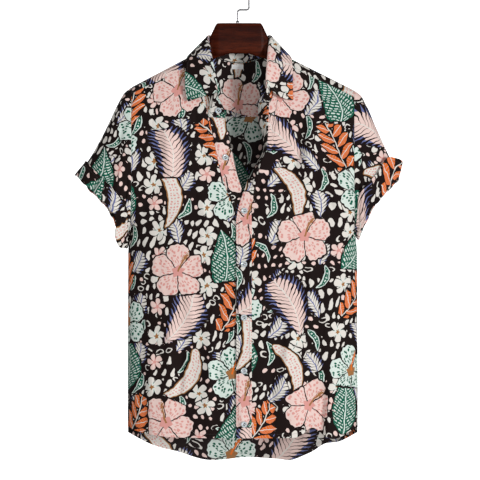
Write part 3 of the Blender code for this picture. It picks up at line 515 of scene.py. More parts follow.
def collar_at(row, names, free=True):
    """Columns of the collar table at any row number."""
    keys = np.arange(COLLAR_LAST + 1.0)
    return [smooth(row, keys, COLLAR[name], free) for name in names.split()]


def ramp(t):
    t = np.clip(t, 0, 1)
    return t * t * (3 - 2 * t)


def bell(t):
    return np.exp(-(t**2))


def between(low, high, share):
    return low + share * (high - low)


def unit(v):
    return v / np.maximum(np.linalg.norm(v, axis=-1, keepdims=True), 1e-9)


def stacked(*columns):
    """Points from their columns, any of which may be one number."""
    return np.stack(np.broadcast_arrays(*columns), -1)


def circle(sides):
    turn = math.tau * np.arange(sides) / sides
    return stacked(np.cos(turn), np.sin(turn))


# The body's surface


def ridge(x):
    """Height of the shoulder line."""
    left = SLOPE_LEFT * CORNER * np.logaddexp(0, (NECK_LEFT - x) / CORNER)
    right = SLOPE_RIGHT * CORNER * np.logaddexp(0, (x - NECK_RIGHT) / CORNER)
    return NECK_Z - left - right


def shoulder_round(x):
    """Radius of the cloth over the hanger's arm."""
    reach = np.abs(x - (NECK_LEFT + NECK_RIGHT) / 2) - (NECK_RIGHT - NECK_LEFT) / 2
    return between(ROUND_NECK, ROUND_TIP, np.clip(reach / ARM_REACH, 0, 1))


def side_x(side, z):
    """x of the body's outline on the wearer's right (side -1) or left (side 1)."""
    return column(SIDES, WEARERS[side], z)


def across_body(x, z):
    """0 at the middle of the body's outline and 1 at its sides."""
    left, right = side_x(-1, z), side_x(1, z)
    return np.abs((2 * x - left - right) / (right - left))


def folds(x, z, face):
    """Soft ridges and troughs that run down the cloth and deepen towards the hem."""
    out = 0
    for x_top, x_low, z_top, width, height in rows_for(FOLDS, face):
        down = (z_top - z) / (z_top - HEM_BACK_Z)
        out = out + height * ramp(down * FOLD_SOON) * bell((x - between(x_top, x_low, down)) / width)
    return out


def creases(x, z, face):
    """The smaller creases, each a soft line that fades at its ends."""
    rows = rows_for(CREASES, face)
    return sum(crease(x - row[0], z - row[1], *row[2:-1], row[-1] * CREASED) for row in rows)


def crease(right, up, turn, long, wide, deep):
    c, s = math.cos(math.radians(turn)), math.sin(math.radians(turn))
    return deep * np.exp(-(((right * c + up * s) / long) ** 2) - ((up * c - right * s) / wide) ** 2)


def depth(x, z, face):
    """How far the body's surface stands from the shoulder plane, in front (-1) or behind (1)."""
    across = np.clip(across_body(x, z), 0, 1)
    drop = np.maximum(ridge(x) - z, 0)
    over = shoulder_round(x)
    rise = over * np.sqrt(1 - (1 - np.clip(drop / over, 0, 1)) ** 2)
    full = column(DEPTHS, "front" if face < 0 else "back", z)
    out = rise + (full - over) * (1 - np.exp(-np.maximum(drop - over, 0) / FILL_OUT))
    out = out + (folds(x, z, face) + creases(x, z, face)) * (1 - across**FOLD_FADE)
    if face > 0:
        beside = np.clip(1 - ((x - NECK_MIDDLE) / BULGE_HALF) ** 2, 0, 1) ** BULGE_POWER
        out = out + NECK_BULGE * beside * np.exp(-drop / BULGE_FADE) * ramp(drop / over)
    closed = 1 - np.clip((z - UNDERARM_Z) / ARMHOLE_OPEN, 0, 1) ** ARMHOLE_POWER
    return out * np.maximum(1 - closed * across**SECTION_POWER, 0) ** (1 / DEPTH_POWER)


def edge_and_seam(z, side):
    """x of the front edge, x of the seam of its strip, and the roll, on one side's front."""
    if side < 0:
        edge = column(RIGHT_EDGE, "edge", z)
        return edge, edge - STRIP, column(RIGHT_EDGE, "roll", z)
    return [column(LEFT_EDGE, name, z) for name in ("edge", "seam", "roll")]


def front_y(x, z, side):
    """y of the front on the wearer's right (side -1) or left (side 1)."""
    edge, seam, roll = edge_and_seam(z, side)
    inward = np.clip((seam - x) / (seam - edge), 0, 1)
    y = -depth(x, z, -1) + roll * inward**ROLL_POWER
    return y - (LAP * ramp((LAP_END - x) / LAP_FADE) if side > 0 else 0)


def over_shoulder(x, s):
    """The body's surface at a distance s over the shoulder line, minus in front."""
    over = shoulder_round(x)
    away = np.abs(s)
    quarter = over * math.pi / 2
    z = ridge(x) - np.where(away < quarter, over * (1 - np.cos(away / over)), over + away - quarter)
    return stacked(x, np.where(s < 0, -depth(x, z, -1), depth(x, z, 1)), z)


def neck_line(row):
    """The neck seam at rows of the collar table."""
    x, s = collar_at(row, "neck_x neck_s", False)
    points = over_shoulder(x, s)
    for side in WEARERS:
        front = (s < -YOKE_FRONT) & (x * side > 0)
        points[..., 1] = np.where(front, front_y(x, points[..., 2], side), points[..., 1])
    return points


def patch(u, v, left, right, low, high):
    """Coons patch: a grid of plane points between four boundary curves, given as arrays."""
    u, v = u[None, :, None], v[:, None, None]
    across = (1 - u) * left[:, None] + u * right[:, None]
    along = (1 - v) * low[None] + v * high[None]
    corners = (1 - v) * ((1 - u) * low[0] + u * low[-1]) + v * ((1 - u) * high[0] + u * high[-1])
    return across + along - corners


def trim(grid, rows=(True, True), columns=(True, True)):
    """Moves the outer rows and columns inwards, so that a seam keeps its gap."""
    grid = grid.copy()
    for axis, (first, last) in enumerate((rows, columns)):
        lines = np.swapaxes(grid, 0, axis)
        for edge, inner in [(0, 1)] * first + [(-1, -2)] * last:
            lines[edge] += unit(lines[inner] - lines[edge]) * (SEAM / 2)
    return grid


# Fronts, back and yoke


def hem_z(x, face):
    """Height of the front (face -1) or back (1) hem."""
    across = across_body(x, SIDES["z"][0])
    if face > 0:
        z = HEM_BACK_Z + HEM_BACK_RISE * across**HEM_BACK_POWER
    else:
        z = HEM_FRONT_Z + HEM_FRONT_RISE * across**HEM_FRONT_POWER
    for middle, height, width in rows_for(HEM_WAVES, face):
        z = z + height * bell((x - middle) / width)
    return z


def seam_z(x):
    """Height of the front yoke seam."""
    return over_shoulder(x, -YOKE_FRONT)[..., 2]


def front_grid(side, v, strip_shares, neck_shares, shoulder_shares):
    """Points of a front: the strip from its edge to its seam, then the rest to the side."""
    first, last = (0, YOKE_FIRST) if side < 0 else (COLLAR_LAST, YOKE_LAST)
    at_seam = first - side
    top_edge, top_seam = neck_line(np.array([float(first), float(at_seam)]))
    z_seam = between(hem_z(edge_and_seam(HEM_FRONT_Z, side)[1], -1), top_seam[2], v)
    strip = []
    for q in 1 - strip_shares[:-1]:
        z = z_seam + q * (top_edge[2] - top_seam[2]) * v**STRIP_TOP_POWER
        edge, seam, _ = edge_and_seam(z, side)
        strip.append(stacked(between(seam, edge, q), z))
    seam_line = stacked(edge_and_seam(z_seam, side)[1], z_seam)
    tip = side_x(side, TIP_Z)
    z_side = between(hem_z(side_x(side, SIDE_HEM_Z), -1), seam_z(tip), v)
    side_line = stacked(side_x(side, z_side), z_side)
    u = np.concatenate([NECK_SHARE * neck_shares[:-1], NECK_SHARE + (1 - NECK_SHARE) * shoulder_shares])
    low_x = between(seam_line[0, 0], side_line[0, 0], u)
    neck = neck_line(between(at_seam, last, np.clip(u / NECK_SHARE, 0, 1)))[:, [0, 2]]
    neck[0] = seam_line[-1]
    x = between(neck[:, 0], tip, np.clip((u - NECK_SHARE) / (1 - NECK_SHARE), 0, 1))
    high = np.where((u <= NECK_SHARE)[:, None], neck, stacked(x, seam_z(x)))
    plane = patch(u, v, seam_line, side_line, stacked(low_x, hem_z(low_x, -1)), high)
    x, z = np.moveaxis(np.concatenate([np.stack(strip, 1), plane], 1), -1, 0)
    return stacked(x, front_y(x, z, side), z)


def back_grid(v, u):
    lines = []
    for side in WEARERS:
        z = between(hem_z(side_x(side, SIDE_HEM_Z), 1), YOKE_SEAM_Z, v)
        lines.append(stacked(side_x(side, z), z))
    low_x, high_x = (between(lines[0][end, 0], lines[1][end, 0], u) for end in (0, -1))
    plane = patch(u, v, *lines, stacked(low_x, hem_z(low_x, 1)), stacked(high_x, YOKE_SEAM_Z))
    x, z = np.moveaxis(plane, -1, 0)
    return stacked(x, depth(x, z, 1), z)


def yoke_plane(v, front, arm, middle, rise):
    """The yoke as cut: x, and the way over the shoulder. It runs from the wearer's right front seam
    round the neck to the left one. Up each armhole one column lies on the shoulder line, and then
    they spread to the back seam, which may rise on the wearer's right of the neck."""
    shoulder, corner = YOKE_SHOULDER, YOKE_CORNER
    half = np.concatenate([shoulder * front[:-1], shoulder + (corner - shoulder) * arm[:-1]])
    u = np.concatenate([half, corner + (1 - 2 * corner) * middle, 1 - half[::-1]])
    neck = stacked(*collar_at(between(YOKE_FIRST, YOKE_LAST, u), "neck_x neck_s", False))
    x = between(side_x(-1, TIP_Z), side_x(1, TIP_Z), np.clip((u - corner) / (1 - 2 * corner), 0, 1))
    up = np.minimum(u, 1 - u)
    s = -YOKE_FRONT * np.clip(1 - up / shoulder, 0, 1)
    seam_s = ridge(x) - YOKE_SEAM_Z + (math.pi / 2 - 1) * shoulder_round(x)
    lifted = rise * bell((x - RISE_X) / RISE_WIDE)
    s += (seam_s - lifted) * np.clip((up - shoulder) / (corner - shoulder), 0, 1) ** YOKE_CLOSER
    outer = stacked(x, s)
    sides = [between(neck[i], outer[i], v[:, None]) for i in (0, -1)]
    return patch(u, v, *sides, neck, outer)


# Sleeves and cuffs


def around_ring(rows, angle):
    """A closed curve through the rows of a table, at angles from 0 to 1."""
    turn, *places = (np.concatenate([row[-3:], row, row[:4]]) for row in rows.values())
    turn = turn + np.repeat([-1, 0, 1], (3, len(turn) - 7, 4))
    return stacked(*(smooth(angle, turn, values, free=True) for values in places))


def crumple(side, angle):
    """How far a sleeve's end is moved out and along at angles round it."""
    moved = np.zeros((2, len(angle)))
    for waves, start, *far in rows_for(CRUMPLE, side):
        wave = np.sin(math.tau * waves * angle + start)
        swell = np.sin(math.tau * CRUMPLE_GROUPS * angle + 2 * start)
        wave *= 1 - CRUMPLE_VARIES + CRUMPLE_VARIES * swell
        moved += np.outer(far, wave)
    return moved


def armhole_ring(angle, side):
    """The armhole seam, from the shoulder tip round the front."""
    tip_z = ridge(side_x(side, ARMHOLE_Z))
    z = (tip_z + UNDERARM_Z) / 2 + (tip_z - UNDERARM_Z) / 2 * np.cos(math.tau * angle)
    x = side_x(side, z)
    y = np.where(angle < 0.5, -depth(x, z, -1), depth(x, z, 1))
    return stacked(x + side * SEAM, y, z)


def sleeve_grid(side, along, angle):
    """Rings of a sleeve, from the armhole to the fold."""
    start, end = armhole_ring(angle, side), around_ring(SLEEVE_FOLDS[side], angle)
    top = np.clip(np.cos(math.tau * angle), 0, 1) ** CAP_POWER
    straight = between(start, end, along[:, None, None])
    cap = (column(CAP, WEARERS[side], along)[:, None] * top)[..., None]
    grid = straight + cap * unit(np.array(CAP_OUT) * (side, 1, 1))
    lift = 0
    for angle_mid, along_mid, *form in rows_for(SLEEVE_CREASES, side):
        across = ((angle - angle_mid + 0.5) % 1 - 0.5)[None] * SLEEVE_GIRTH
        lift = lift + crease(across, (along - along_mid)[:, None] * SLEEVE_DROP, *form)
    out, down = (row * ramp((along - 1) / CRUMPLED + 1)[:, None] for row in crumple(side, angle))
    lift = lift * ramp(along * CREASE_START)[:, None] + out
    away = grid - straight.mean(axis=1, keepdims=True)
    return grid + unit(away * CREASE_OUT) * lift[..., None] + unit(end - start) * down[..., None]


def outer_tip(angle):
    """1 at the outer tip of a sleeve's end, 0 on its lower half."""
    return np.clip(np.cos(math.tau * angle), 0, 1) ** 2


def cuff_grid(side, angle, up):
    """Points of a sleeve's end, from the fold up by the cuff's width."""
    tip, beside = outer_tip(angle), bell((np.minimum(angle, 1 - angle) - PEAK_AWAY) / PEAK_WIDE)
    length = np.linalg.norm(around_ring(SLEEVE_FOLDS[side], angle) - armhole_ring(angle, side), axis=-1)
    width = CUFF[side] * (1 + (side > 0) * (CUFF_PEAK * beside - TIP_SHORT * tip**5))
    full, most = np.sqrt(width**2 - (tip**2 * FLARE[side]) ** 2), CUFF_SHARE * length
    reach = -REACH_SOFT * np.logaddexp(-full / REACH_SOFT, -most / REACH_SOFT) / length
    return np.stack([sleeve_grid(side, 1 - up * far, angle)[:, j] for j, far in enumerate(reach)], 1)


# Points beside edges


def edged(count, length, first=(), last=(), low=0, high=1):
    """Even steps from low to high, and further ones at distances from the ends, for a seam or hem."""
    shares = [np.linspace(0, 1, count), np.array(first) / length, 1 - np.array(last) / length]
    return between(low, high, np.unique(np.concatenate(shares).round(6)))


def summed(steps, axis):
    """Running totals of steps, from 0."""
    return np.insert(steps.cumsum(axis=axis), 0, 0, axis=axis)


def from_edge(grid, edge):
    """A grid turned so that its first row is the one along an edge."""
    axis, last = EDGES[edge]
    turned = np.swapaxes(grid, 0, axis)
    return turned[::-1] if last else turned


def run_from(grid, edge):
    """How far each point lies from an edge of its grid, measured along the cloth."""
    axis, last = EDGES[edge]
    run = summed(np.linalg.norm(np.diff(from_edge(grid, edge), axis=0), axis=-1), 0)
    return np.swapaxes(run[::-1] if last else run, 0, axis)


def sunk(grid, *edges, deep=SEAM_DIP):
    """How far a panel turns in beside the edges that are seams."""
    return sum(deep * bell(run_from(grid, edge) / SEAM_SOFT) for edge in edges)


def hem_fold(grid):
    """What the turned hem adds to the wall."""
    return HEM_STEP * ramp((HEM - run_from(grid, "low")) / HEM_SOFT)


def parallel(grid, facing, edge, away):
    """A line at a distance from an edge of a grid, and the way the cloth faces along it."""
    run = from_edge(run_from(grid, edge), edge)
    both = from_edge(np.concatenate([grid, facing], -1), edge)
    line = [[np.interp(away, at, row) for row in rows.T] for at, rows in zip(run.T, both.swapaxes(0, 1))]
    line = np.array(line)
    return line[:, :3], unit(line[:, 3:])


# Prints, as the cloth was cut


def flat_cut(grid, start_x, start_z, turned=1):
    """Distances along the cloth from a line at the side and a line at the foot of a panel."""
    across = np.hypot(*np.moveaxis(np.diff(grid, axis=1)[..., :2], -1, 0))
    along = np.hypot(*np.moveaxis(np.diff(grid, axis=0)[..., 1:], -1, 0))
    return stacked(start_x + turned * summed(across, 1), start_z + summed(along, 0))


def band_cut(grid):
    """Distances along a band from its middle, and across it from its first row."""
    u = run_from(grid, "left")
    return stacked(u - u[:, -1:] / 2, run_from(grid, "low"))


def sleeve_cut(grid, angle, side):
    """Distances round a sleeve from its top line, and up it from there along its axis."""
    top = np.argmin(np.minimum(angle, 1 - angle))
    axis = unit(grid[-1, top] - grid[0, top])
    steps = np.diff(grid, axis=1)
    steps = steps - (steps @ axis)[..., None] * axis
    around = summed(np.linalg.norm(steps, axis=-1), 1)
    return stacked(-side * (around - around[:, top:top + 1]), (grid[0, top] - grid) @ axis)


# Meshes


def added(name, data):
    """A new object in the scene."""
    made = bpy.data.objects.new(name, data)
    bpy.context.scene.collection.objects.link(made)
    return made


def finished_mesh(made):
    """The mesh that an object's modifiers make of it."""
    bpy.context.view_layer.update()
    return bpy.data.meshes.new_from_object(made.evaluated_get(bpy.context.evaluated_depsgraph_get()))


def normals(grid, away, around=False):
    """Unit normals of a grid, on the side of the vectors in away."""
    down, across = np.gradient(grid, axis=0), np.gradient(grid, axis=1)
    if around:
        across[:, 0] = across[:, -1] = grid[:, 1] - grid[:, -2]
    n = unit(np.cross(down, across))
    return n if (n * away).sum() > 0 else -n


def quads(rows, columns, closed_rows=False, closed_columns=False):
    """Faces between the points of a grid, whose last row or column may join its first."""
    at = np.arange(rows * columns).reshape(rows, columns)
    at = np.pad(at, ((0, int(closed_rows)), (0, int(closed_columns))), mode="wrap")
    return np.stack([at[:-1, :-1], at[:-1, 1:], at[1:, 1:], at[1:, :-1]], -1).reshape(-1, 4)


def piece(name, points, faces, finish, cut=None, inside=None):
    """An object from points in millimetres, with its normals outwards."""
    mesh = bpy.data.meshes.new(name)
    mesh.from_pydata((np.asarray(points) * MM).tolist(), [], [list(face) for face in faces])
    shape = bmesh.new()
    shape.from_mesh(mesh)
    bmesh.ops.recalc_face_normals(shape, faces=shape.faces)
    shape.to_mesh(mesh)
    shape.free()
    mesh.shade_smooth()
    mesh.set_sharp_from_angle(angle=SHARP)
    mesh.materials.append(finish)
    if cut is not None:
        corners = np.empty(len(mesh.loops), int)
        mesh.loops.foreach_get("vertex_index", corners)
        layer = mesh.uv_layers.new(name="cut")
        layer.data.foreach_set("uv", cut.reshape(-1, 2)[corners].ravel())
    if inside is not None:
        mesh.attributes.new("inside", "FLOAT", "POINT").data.foreach_set("value", inside)
    return added(FINE_NAME + name, mesh)


def shell(name, outer, inner, cut, finish, right_side_in=False):
    """A cloth wall between two grids, closed along its edges."""
    rows, columns = outer.shape[:2]
    size = rows * columns
    skin = quads(rows, columns)
    at = np.arange(size).reshape(rows, columns)
    loop = np.concatenate([at[0, :-1], at[:-1, -1], at[-1, :0:-1], at[:0:-1, 0]])
    after = np.roll(loop, -1)
    rim = np.stack([after, loop, loop + size, after + size], -1)
    faces = np.concatenate([skin, skin[:, ::-1] + size, rim])
    points = np.concatenate([outer.reshape(-1, 3), inner.reshape(-1, 3)])
    both = np.concatenate([cut.reshape(-1, 2)] * 2)
    reverse = [1.0, 0.0] if right_side_in else [0.0, 1.0]
    piece(name, points, faces, finish, both, np.repeat(reverse, size))


def cloth(name, grid, away, cut, finish, out=0.0, thick=CLOTH, around=False, square=(), **faces):
    """A wall whose outer face is the grid moved out. Each entry of square names rows, columns and
    the axis that their normals lose, so that two pieces meet squarely at a seam. Gives back the
    outer face and its normals."""
    n = normals(grid, away, around)
    for rows, columns, axis in square:
        n[rows, columns, axis] = 0
    n = unit(n)
    out, thick = (np.broadcast_to(value, grid.shape[:2])[..., None] for value in (out, thick))
    shell(name, grid + n * out, grid + n * (out - thick), cut + CUTS[name], finish, **faces)
    return grid + n * out, n


def lathe(name, profile, sides, finish):
    """A turned solid about Z from rows of radius and height, both ends at radius 0."""
    rows = [stacked(*(circle(sides) * radius).T, height) for radius, height in profile[1:-1]]
    points = np.concatenate([[(0, 0, profile[0][1])], *rows, [(0, 0, profile[-1][1])]])
    last = len(points) - 1
    first_fan, last_fan = (
        [(middle, start + j, start + (j + 1) % sides) for j in range(sides)]
        for middle, start in ((0, 1), (last, last - sides))
    )
    faces = (quads(len(rows), sides, closed_columns=True) + 1).tolist()
    return piece(name, points, first_fan + faces + last_fan, finish)


def tube(name, rings, finish):
    """A solid through closed rings of points, with a cap at each end."""
    count, sides = rings.shape[:2]
    faces = quads(count, sides, closed_columns=True).tolist()
    faces += [range(sides), range((count - 1) * sides, count * sides)]
    return piece(name, rings.reshape(-1, 3), faces, finish)


def wire_rings(path, radii, sides):
    """Round sections along a path that stays in a plane across Y."""
    out = np.cross(unit(np.gradient(path, axis=0)), BACK)
    c, s = circle(sides).T[..., None]
    return path[:, None] + (out[:, None] * c + BACK * s) * radii[:, None, None]


# Cloth pieces


def make_fronts(print_cloth):
    """Both fronts with their strips, and the lines that are sewn on them."""
    strips, seams = {}, []
    v = edged(150, 625, HEM_STEPS, SEAM_STEPS)
    strip_shares = edged(9, STRIP, STRIP_STEPS, STRIP_STEPS)
    columns = len(strip_shares)
    shoulder_shares = 1 - (1 - edged(40, 110, last=SEAM_STEPS)) ** CLOSER_FRONT
    for side, name, strip_name in ((-1, "front_right", "button_band"), (1, "front_left", "placket")):
        grid = front_grid(side, v, strip_shares, np.linspace(0, 1, 22), shoulder_shares)
        cut = flat_cut(grid, grid[:, :1, 0], grid[:1, :, 2], side)
        at_yoke = grid[-1, :, 0] * side > NECK_RIGHT
        closed = grid[:, -1, 2] < UNDERARM_Z
        face, n = cloth(
            name, trim(grid, rows=(False, True)), FRONT, cut, print_cloth,
            out=-sunk(grid, "high", "right"), thick=CLOTH + hem_fold(grid),
            square=((-1, at_yoke, 2), (closed, -1, 1)),
        )
        seams.append(parallel(face[:, columns:], n[:, columns:], "low", HEM - 1))
        strip = trim(grid[:, :columns], columns=(False, False))
        pucker = STRIP_PUCKER * np.sin(strip[..., 2] / PUCKER_PITCH * math.tau + side)
        pucker *= 1 - np.abs(2 * strip_shares - 1)
        out = GAP + FINE + pucker - sunk(strip, "left", "right", deep=BAND_DIP)
        face, n = cloth(
            strip_name, strip, FRONT, cut[:, :columns], print_cloth, out=out, thick=FINE + pucker,
        )
        strips[side] = face
        seams += [parallel(face, n, edge, STRIP_STITCH) for edge in ("left", "right")]
    return strips, seams


def make_back(print_cloth):
    """The back below the yoke, and the line that is sewn on it."""
    v = edged(160, 600, HEM_STEPS, SEAM_STEPS)
    u = edged(110, 410, SEAM_STEPS, SEAM_STEPS)
    grid = back_grid(v, CLOSER_BACK * (1 - np.cos(u * math.pi)) / 2 + (1 - CLOSER_BACK) * u)
    closed = grid[:, 0, 2] < UNDERARM_Z
    face, n = cloth(
        "back", trim(grid, rows=(False, True)), BACK,
        flat_cut(grid, grid[:, :1, 0], grid[:1, :, 2]), print_cloth,
        out=-sunk(grid, "high", "left", "right"), thick=CLOTH + hem_fold(grid),
        square=((-1, ALL, 2), (closed, 0, 1), (closed, -1, 1)),
    )
    return [parallel(face, n, "low", HEM - 1)]


def make_yokes(print_cloth):
    """Outer and inner yoke, and the lines that are sewn on the outer one."""
    shares = edged(26, 85, SEAM_STEPS, SEAM_STEPS), edged(46, 135, SEAM_STEPS)
    shares += np.linspace(0, 1, 30), np.linspace(0, 1, 110)
    plane, inner_plane = (yoke_plane(*shares, rise) for rise in (0, INNER_RISE))
    grid, inner = (trim(over_shoulder(*np.moveaxis(cut, -1, 0))) for cut in (plane, inner_plane))
    away = grid - UP * YOKE_SEAM_Z
    at_back = np.abs(grid[-1, :, 2] - YOKE_SEAM_Z) < 1
    square = ((ALL, 0, 2), (ALL, -1, 2), (-1, at_back, 2))
    sink = sunk(grid, "high", "left", "right")
    face, n = cloth("yoke", grid, away, plane * YOKE_CUT, print_cloth, out=-sink, square=square)
    cloth(
        "inner_yoke", inner, away, inner_plane * YOKE_CUT, print_cloth,
        out=-(CLOTH + GAP) - sink, thick=FINE, square=square, right_side_in=True,
    )
    return [parallel(face, n, edge, EDGE_STITCH) for edge in ("left", "right", "high")]


def make_sleeves(print_cloth):
    """Sleeves, open at the seam under the arm, where their two edges meet."""
    angle = (0.5 + edged(150, SLEEVE_GIRTH, CLOSE_STEPS, CLOSE_STEPS)) % 1.0
    along = edged(44, SLEEVE_DROP, SEAM_STEPS)
    lines = []
    for side, name in WEARERS.items():
        grid = sleeve_grid(side, along, angle)
        away = grid - grid.mean(axis=1, keepdims=True)
        cloth(
            "sleeve_" + name, grid, away, sleeve_cut(grid, angle, side), print_cloth,
            out=-sunk(grid, "low"), around=True, square=((0, ALL, 0),),
        )
        around = band_cut(grid)[-1, :, 0] * -side
        lines.append(make_cuff("cuff_" + name, side, angle, around, print_cloth))
    return lines


def make_cuff(name, side, angle, around, print_cloth):
    """The turned-up end: a band outside the sleeve and the fold that closes over its edge."""
    up = edged(12, CUFF[side], (1, 2.5), CLOSE_STEPS)
    grid = cuff_grid(side, angle, up)
    n = normals(grid, grid - grid.mean(axis=(0, 1)), around=True)
    high = up[:, None]
    puff = 1 + PUFF_VARIES * np.sin(math.tau * PUFFS * angle + side)
    puff = CUFF_PUFF * puff * np.sin(math.pi * high)
    roll = CUFF_ROLL * (1 + ROLL_VARIES * np.sin(math.tau * ROLLS * angle + 2 * side))
    gap = CUFF_CLEAR + roll * (1 - high) ** 2 + puff + CUFF_LIP * high**4
    lift = (gap + FLARE[side] * high**FLARE_POWER * outer_tip(angle) ** 2)[..., None]
    under, over = grid + n * lift, grid + n * (lift + CLOTH)
    along = np.gradient(grid[0], axis=0)
    along[0] = along[-1] = grid[0, 1] - grid[0, -2]
    down = unit(np.cross(n[0], along))
    down *= np.sign((down * (grid[0] - grid[1])).sum())
    gap = gap[0][:, None]
    half = (gap + 2 * CLOTH) / 2
    fold = [
        grid[0] + n[0] * (gap / 2 + half * math.cos(t)) + down * (SEAM + half * math.sin(t))
        for t in np.linspace(0, math.pi, 13)[1:]
    ]
    lip = grid[0] - n[0] * CLOTH + down * SEAM
    under[0] = grid[0] + n[0] * gap + down * SEAM
    rings = np.stack([*over[::-1], *fold, lip, *under], 0)
    rows, columns = rings.shape[:2]
    v = np.concatenate([up[::-1], np.zeros(len(fold) + 1), up]) * CUFF[side]
    faces = quads(rows, columns, closed_rows=True).tolist()
    faces += [range(j, rows * columns, columns) for j in (0, columns - 1)]
    inside = np.repeat([0.0] * (rows - len(up)) + [1.0] * len(up), columns)
    cut = stacked(around, v[:, None]) + CUTS[name]
    piece(name, rings.reshape(-1, 3), faces, print_cloth, cut, inside)
    return parallel(over, n, "high", CUFF_STITCH)


# Collar


def collar_lines(row):
    """Neck seam, top of the stand and outer edge of the leaf at rows of the collar table."""
    lines = (stacked(*collar_at(row, f"{line}_x {line}_y {line}_z")) for line in ("top", "edge"))
    return neck_line(row), *lines


def stand_grid(row, share):
    neck, top, _ = collar_lines(row)
    return between(neck + unit(top - neck) * STAND_CLEAR, top, share[:, None, None])


def leaf_grid(row):
    """Outer face of the leaf, from the stand's top edge over and down to the leaf's own edge, and
    the way out of it."""
    neck, top, edge = collar_lines(row)
    rise, fall = unit(top - neck), edge - top
    crest = unit(rise - unit(fall))
    lift = unit(crest - (crest * unit(fall)).sum(-1, keepdims=True) * unit(fall))
    sag = TIP_SAG * bell((row - LEAF_LAST) / SAG_ROWS)
    rows = [top + crest * up + lift * out for up, out in LEAF_FOLD]
    for share in LEAF_ROWS:
        hump = LEAF_HUMP * math.sin(math.pi * share**HUMP_POWER) + LEAF_FOLD[-1][1] * (1 - share)
        rows.append(top + fall * share + lift * hump + stacked(0, 0, -sag * math.sin(math.pi * share)))
    return np.stack(rows, 0), lift


def refined(grid, count, length, last):
    """More rows, on smooth curves through the rows of a grid."""
    keys = run_from(grid, "low").mean(axis=1)
    at = edged(count, length, last=last, high=keys[-1])
    lines = [smooth(at, keys, line, free=True) for line in grid.reshape(len(grid), -1).T]
    return np.stack(lines, -1).reshape(len(at), *grid.shape[1:])


def make_collar(print_cloth):
    row = edged(230, 420, EDGE_STEPS, EDGE_STEPS, high=COLLAR_LAST)
    stand = stand_grid(row, edged(10, 30, EDGE_STEPS, EDGE_STEPS))
    face, n = cloth(
        "collar_stand", stand, stand - (NECK_MIDDLE, 0, NECK_Z), band_cut(stand), print_cloth,
        out=-sunk(stand, "low", deep=BAND_DIP), thick=STIFF,
    )
    lines = [parallel(face, n, edge, EDGE_STITCH) for edge in ("low", "high")]
    leaf, lift = leaf_grid(edged(220, 420, LEAF_STEPS, LEAF_STEPS, LEAF_FIRST, LEAF_LAST))
    leaf = refined(leaf, 24, 50, EDGE_STEPS)
    face, n = cloth(
        "collar_leaf", leaf, lift, band_cut(leaf) * (1, -1), print_cloth,
        out=-sunk(leaf, "high", "left", "right", deep=LEAF_DIP), thick=STIFF,
    )
    face, n = face[LEAF_FOLD_ROWS:, 2:-2], n[LEAF_FOLD_ROWS:, 2:-2]
    return lines + [parallel(face, n, edge, LEAF_STITCH) for edge in ("high", "left", "right")]


def make_label(tape):
    """The woven label, left blank, on the inner yoke."""
    x, s = np.meshgrid(np.linspace(-LABEL_HALF, LABEL_HALF, 22), np.linspace(LABEL_TOP, LABEL_LOW, 10))
    grid = over_shoulder(x, s)
    bow = LABEL_BOW * np.sin((s - LABEL_TOP) / (LABEL_LOW - LABEL_TOP) * math.pi)
    n = normals(grid, BACK)
    out = (-(CLOTH + FINE + 2 * GAP) - bow)[..., None]
    shell("label", grid + n * out, grid + n * (out - FINE), stacked(x, s), tape)


# Buttons, hanger and hook


def on_strip(strip, z):
    """The middle of a strip at a height, just clear of its face, and the way the face looks."""
    middle = strip.shape[1] // 2
    both = np.concatenate([strip, normals(strip, FRONT)], -1)[:, middle]
    both = np.array([np.interp(z, both[:, 2], values) for values in both.T])
    facing = unit(both[3:])
    return both[:3] + facing * GAP, facing


def button_mesh(pearl):
    """A turned disc with a raised rim and four holes, lying on its back at the origin."""
    disc = lathe("button_blank", BUTTON_PROFILE, BUTTON_SIDES, pearl)
    holes = bmesh.new()
    for x in (-HOLE_APART, HOLE_APART):
        for y in (-HOLE_APART, HOLE_APART):
            bmesh.ops.create_cone(
                holes, cap_ends=True, segments=18, radius1=HOLE * MM, radius2=HOLE * MM,
                depth=10 * MM, matrix=Matrix.Translation(Vector((x, y, 1)) * MM),
            )
    cutter = added("button_holes", bpy.data.meshes.new("button_holes"))
    holes.to_mesh(cutter.data)
    holes.free()
    cut = disc.modifiers.new("holes", "BOOLEAN")
    cut.operation = "DIFFERENCE"
    cut.object = cutter
    mesh = finished_mesh(disc)
    for old in (disc, cutter):
        bpy.data.objects.remove(old)
    mesh.set_sharp_from_angle(angle=SHARP)
    return mesh


def thread_mesh(thread):
    """Two bars of thread between the holes, each sunk into them at its ends."""
    x = HOLE_APART * np.array([-1, -1, -0.92, -0.5, 0, 0.5, 0.92, 1, 1])
    z = np.array([0.2, 1.5, 2.15, 2.45, 2.55, 2.45, 2.15, 1.5, 0.2])
    joined = bmesh.new()
    for y in (-HOLE_APART, HOLE_APART):
        for shift in (-THREAD * STRANDS_APART, THREAD * STRANDS_APART):
            strand = stacked(x, y, z) + (0, shift, 0)
            made = tube("strand", wire_rings(strand, np.full(len(x), THREAD), 8), thread)
            joined.from_mesh(made.data)
            bpy.data.objects.remove(made)
    mesh = bpy.data.meshes.new("button_thread")
    joined.to_mesh(mesh)
    joined.free()
    mesh.materials.append(thread)
    return mesh


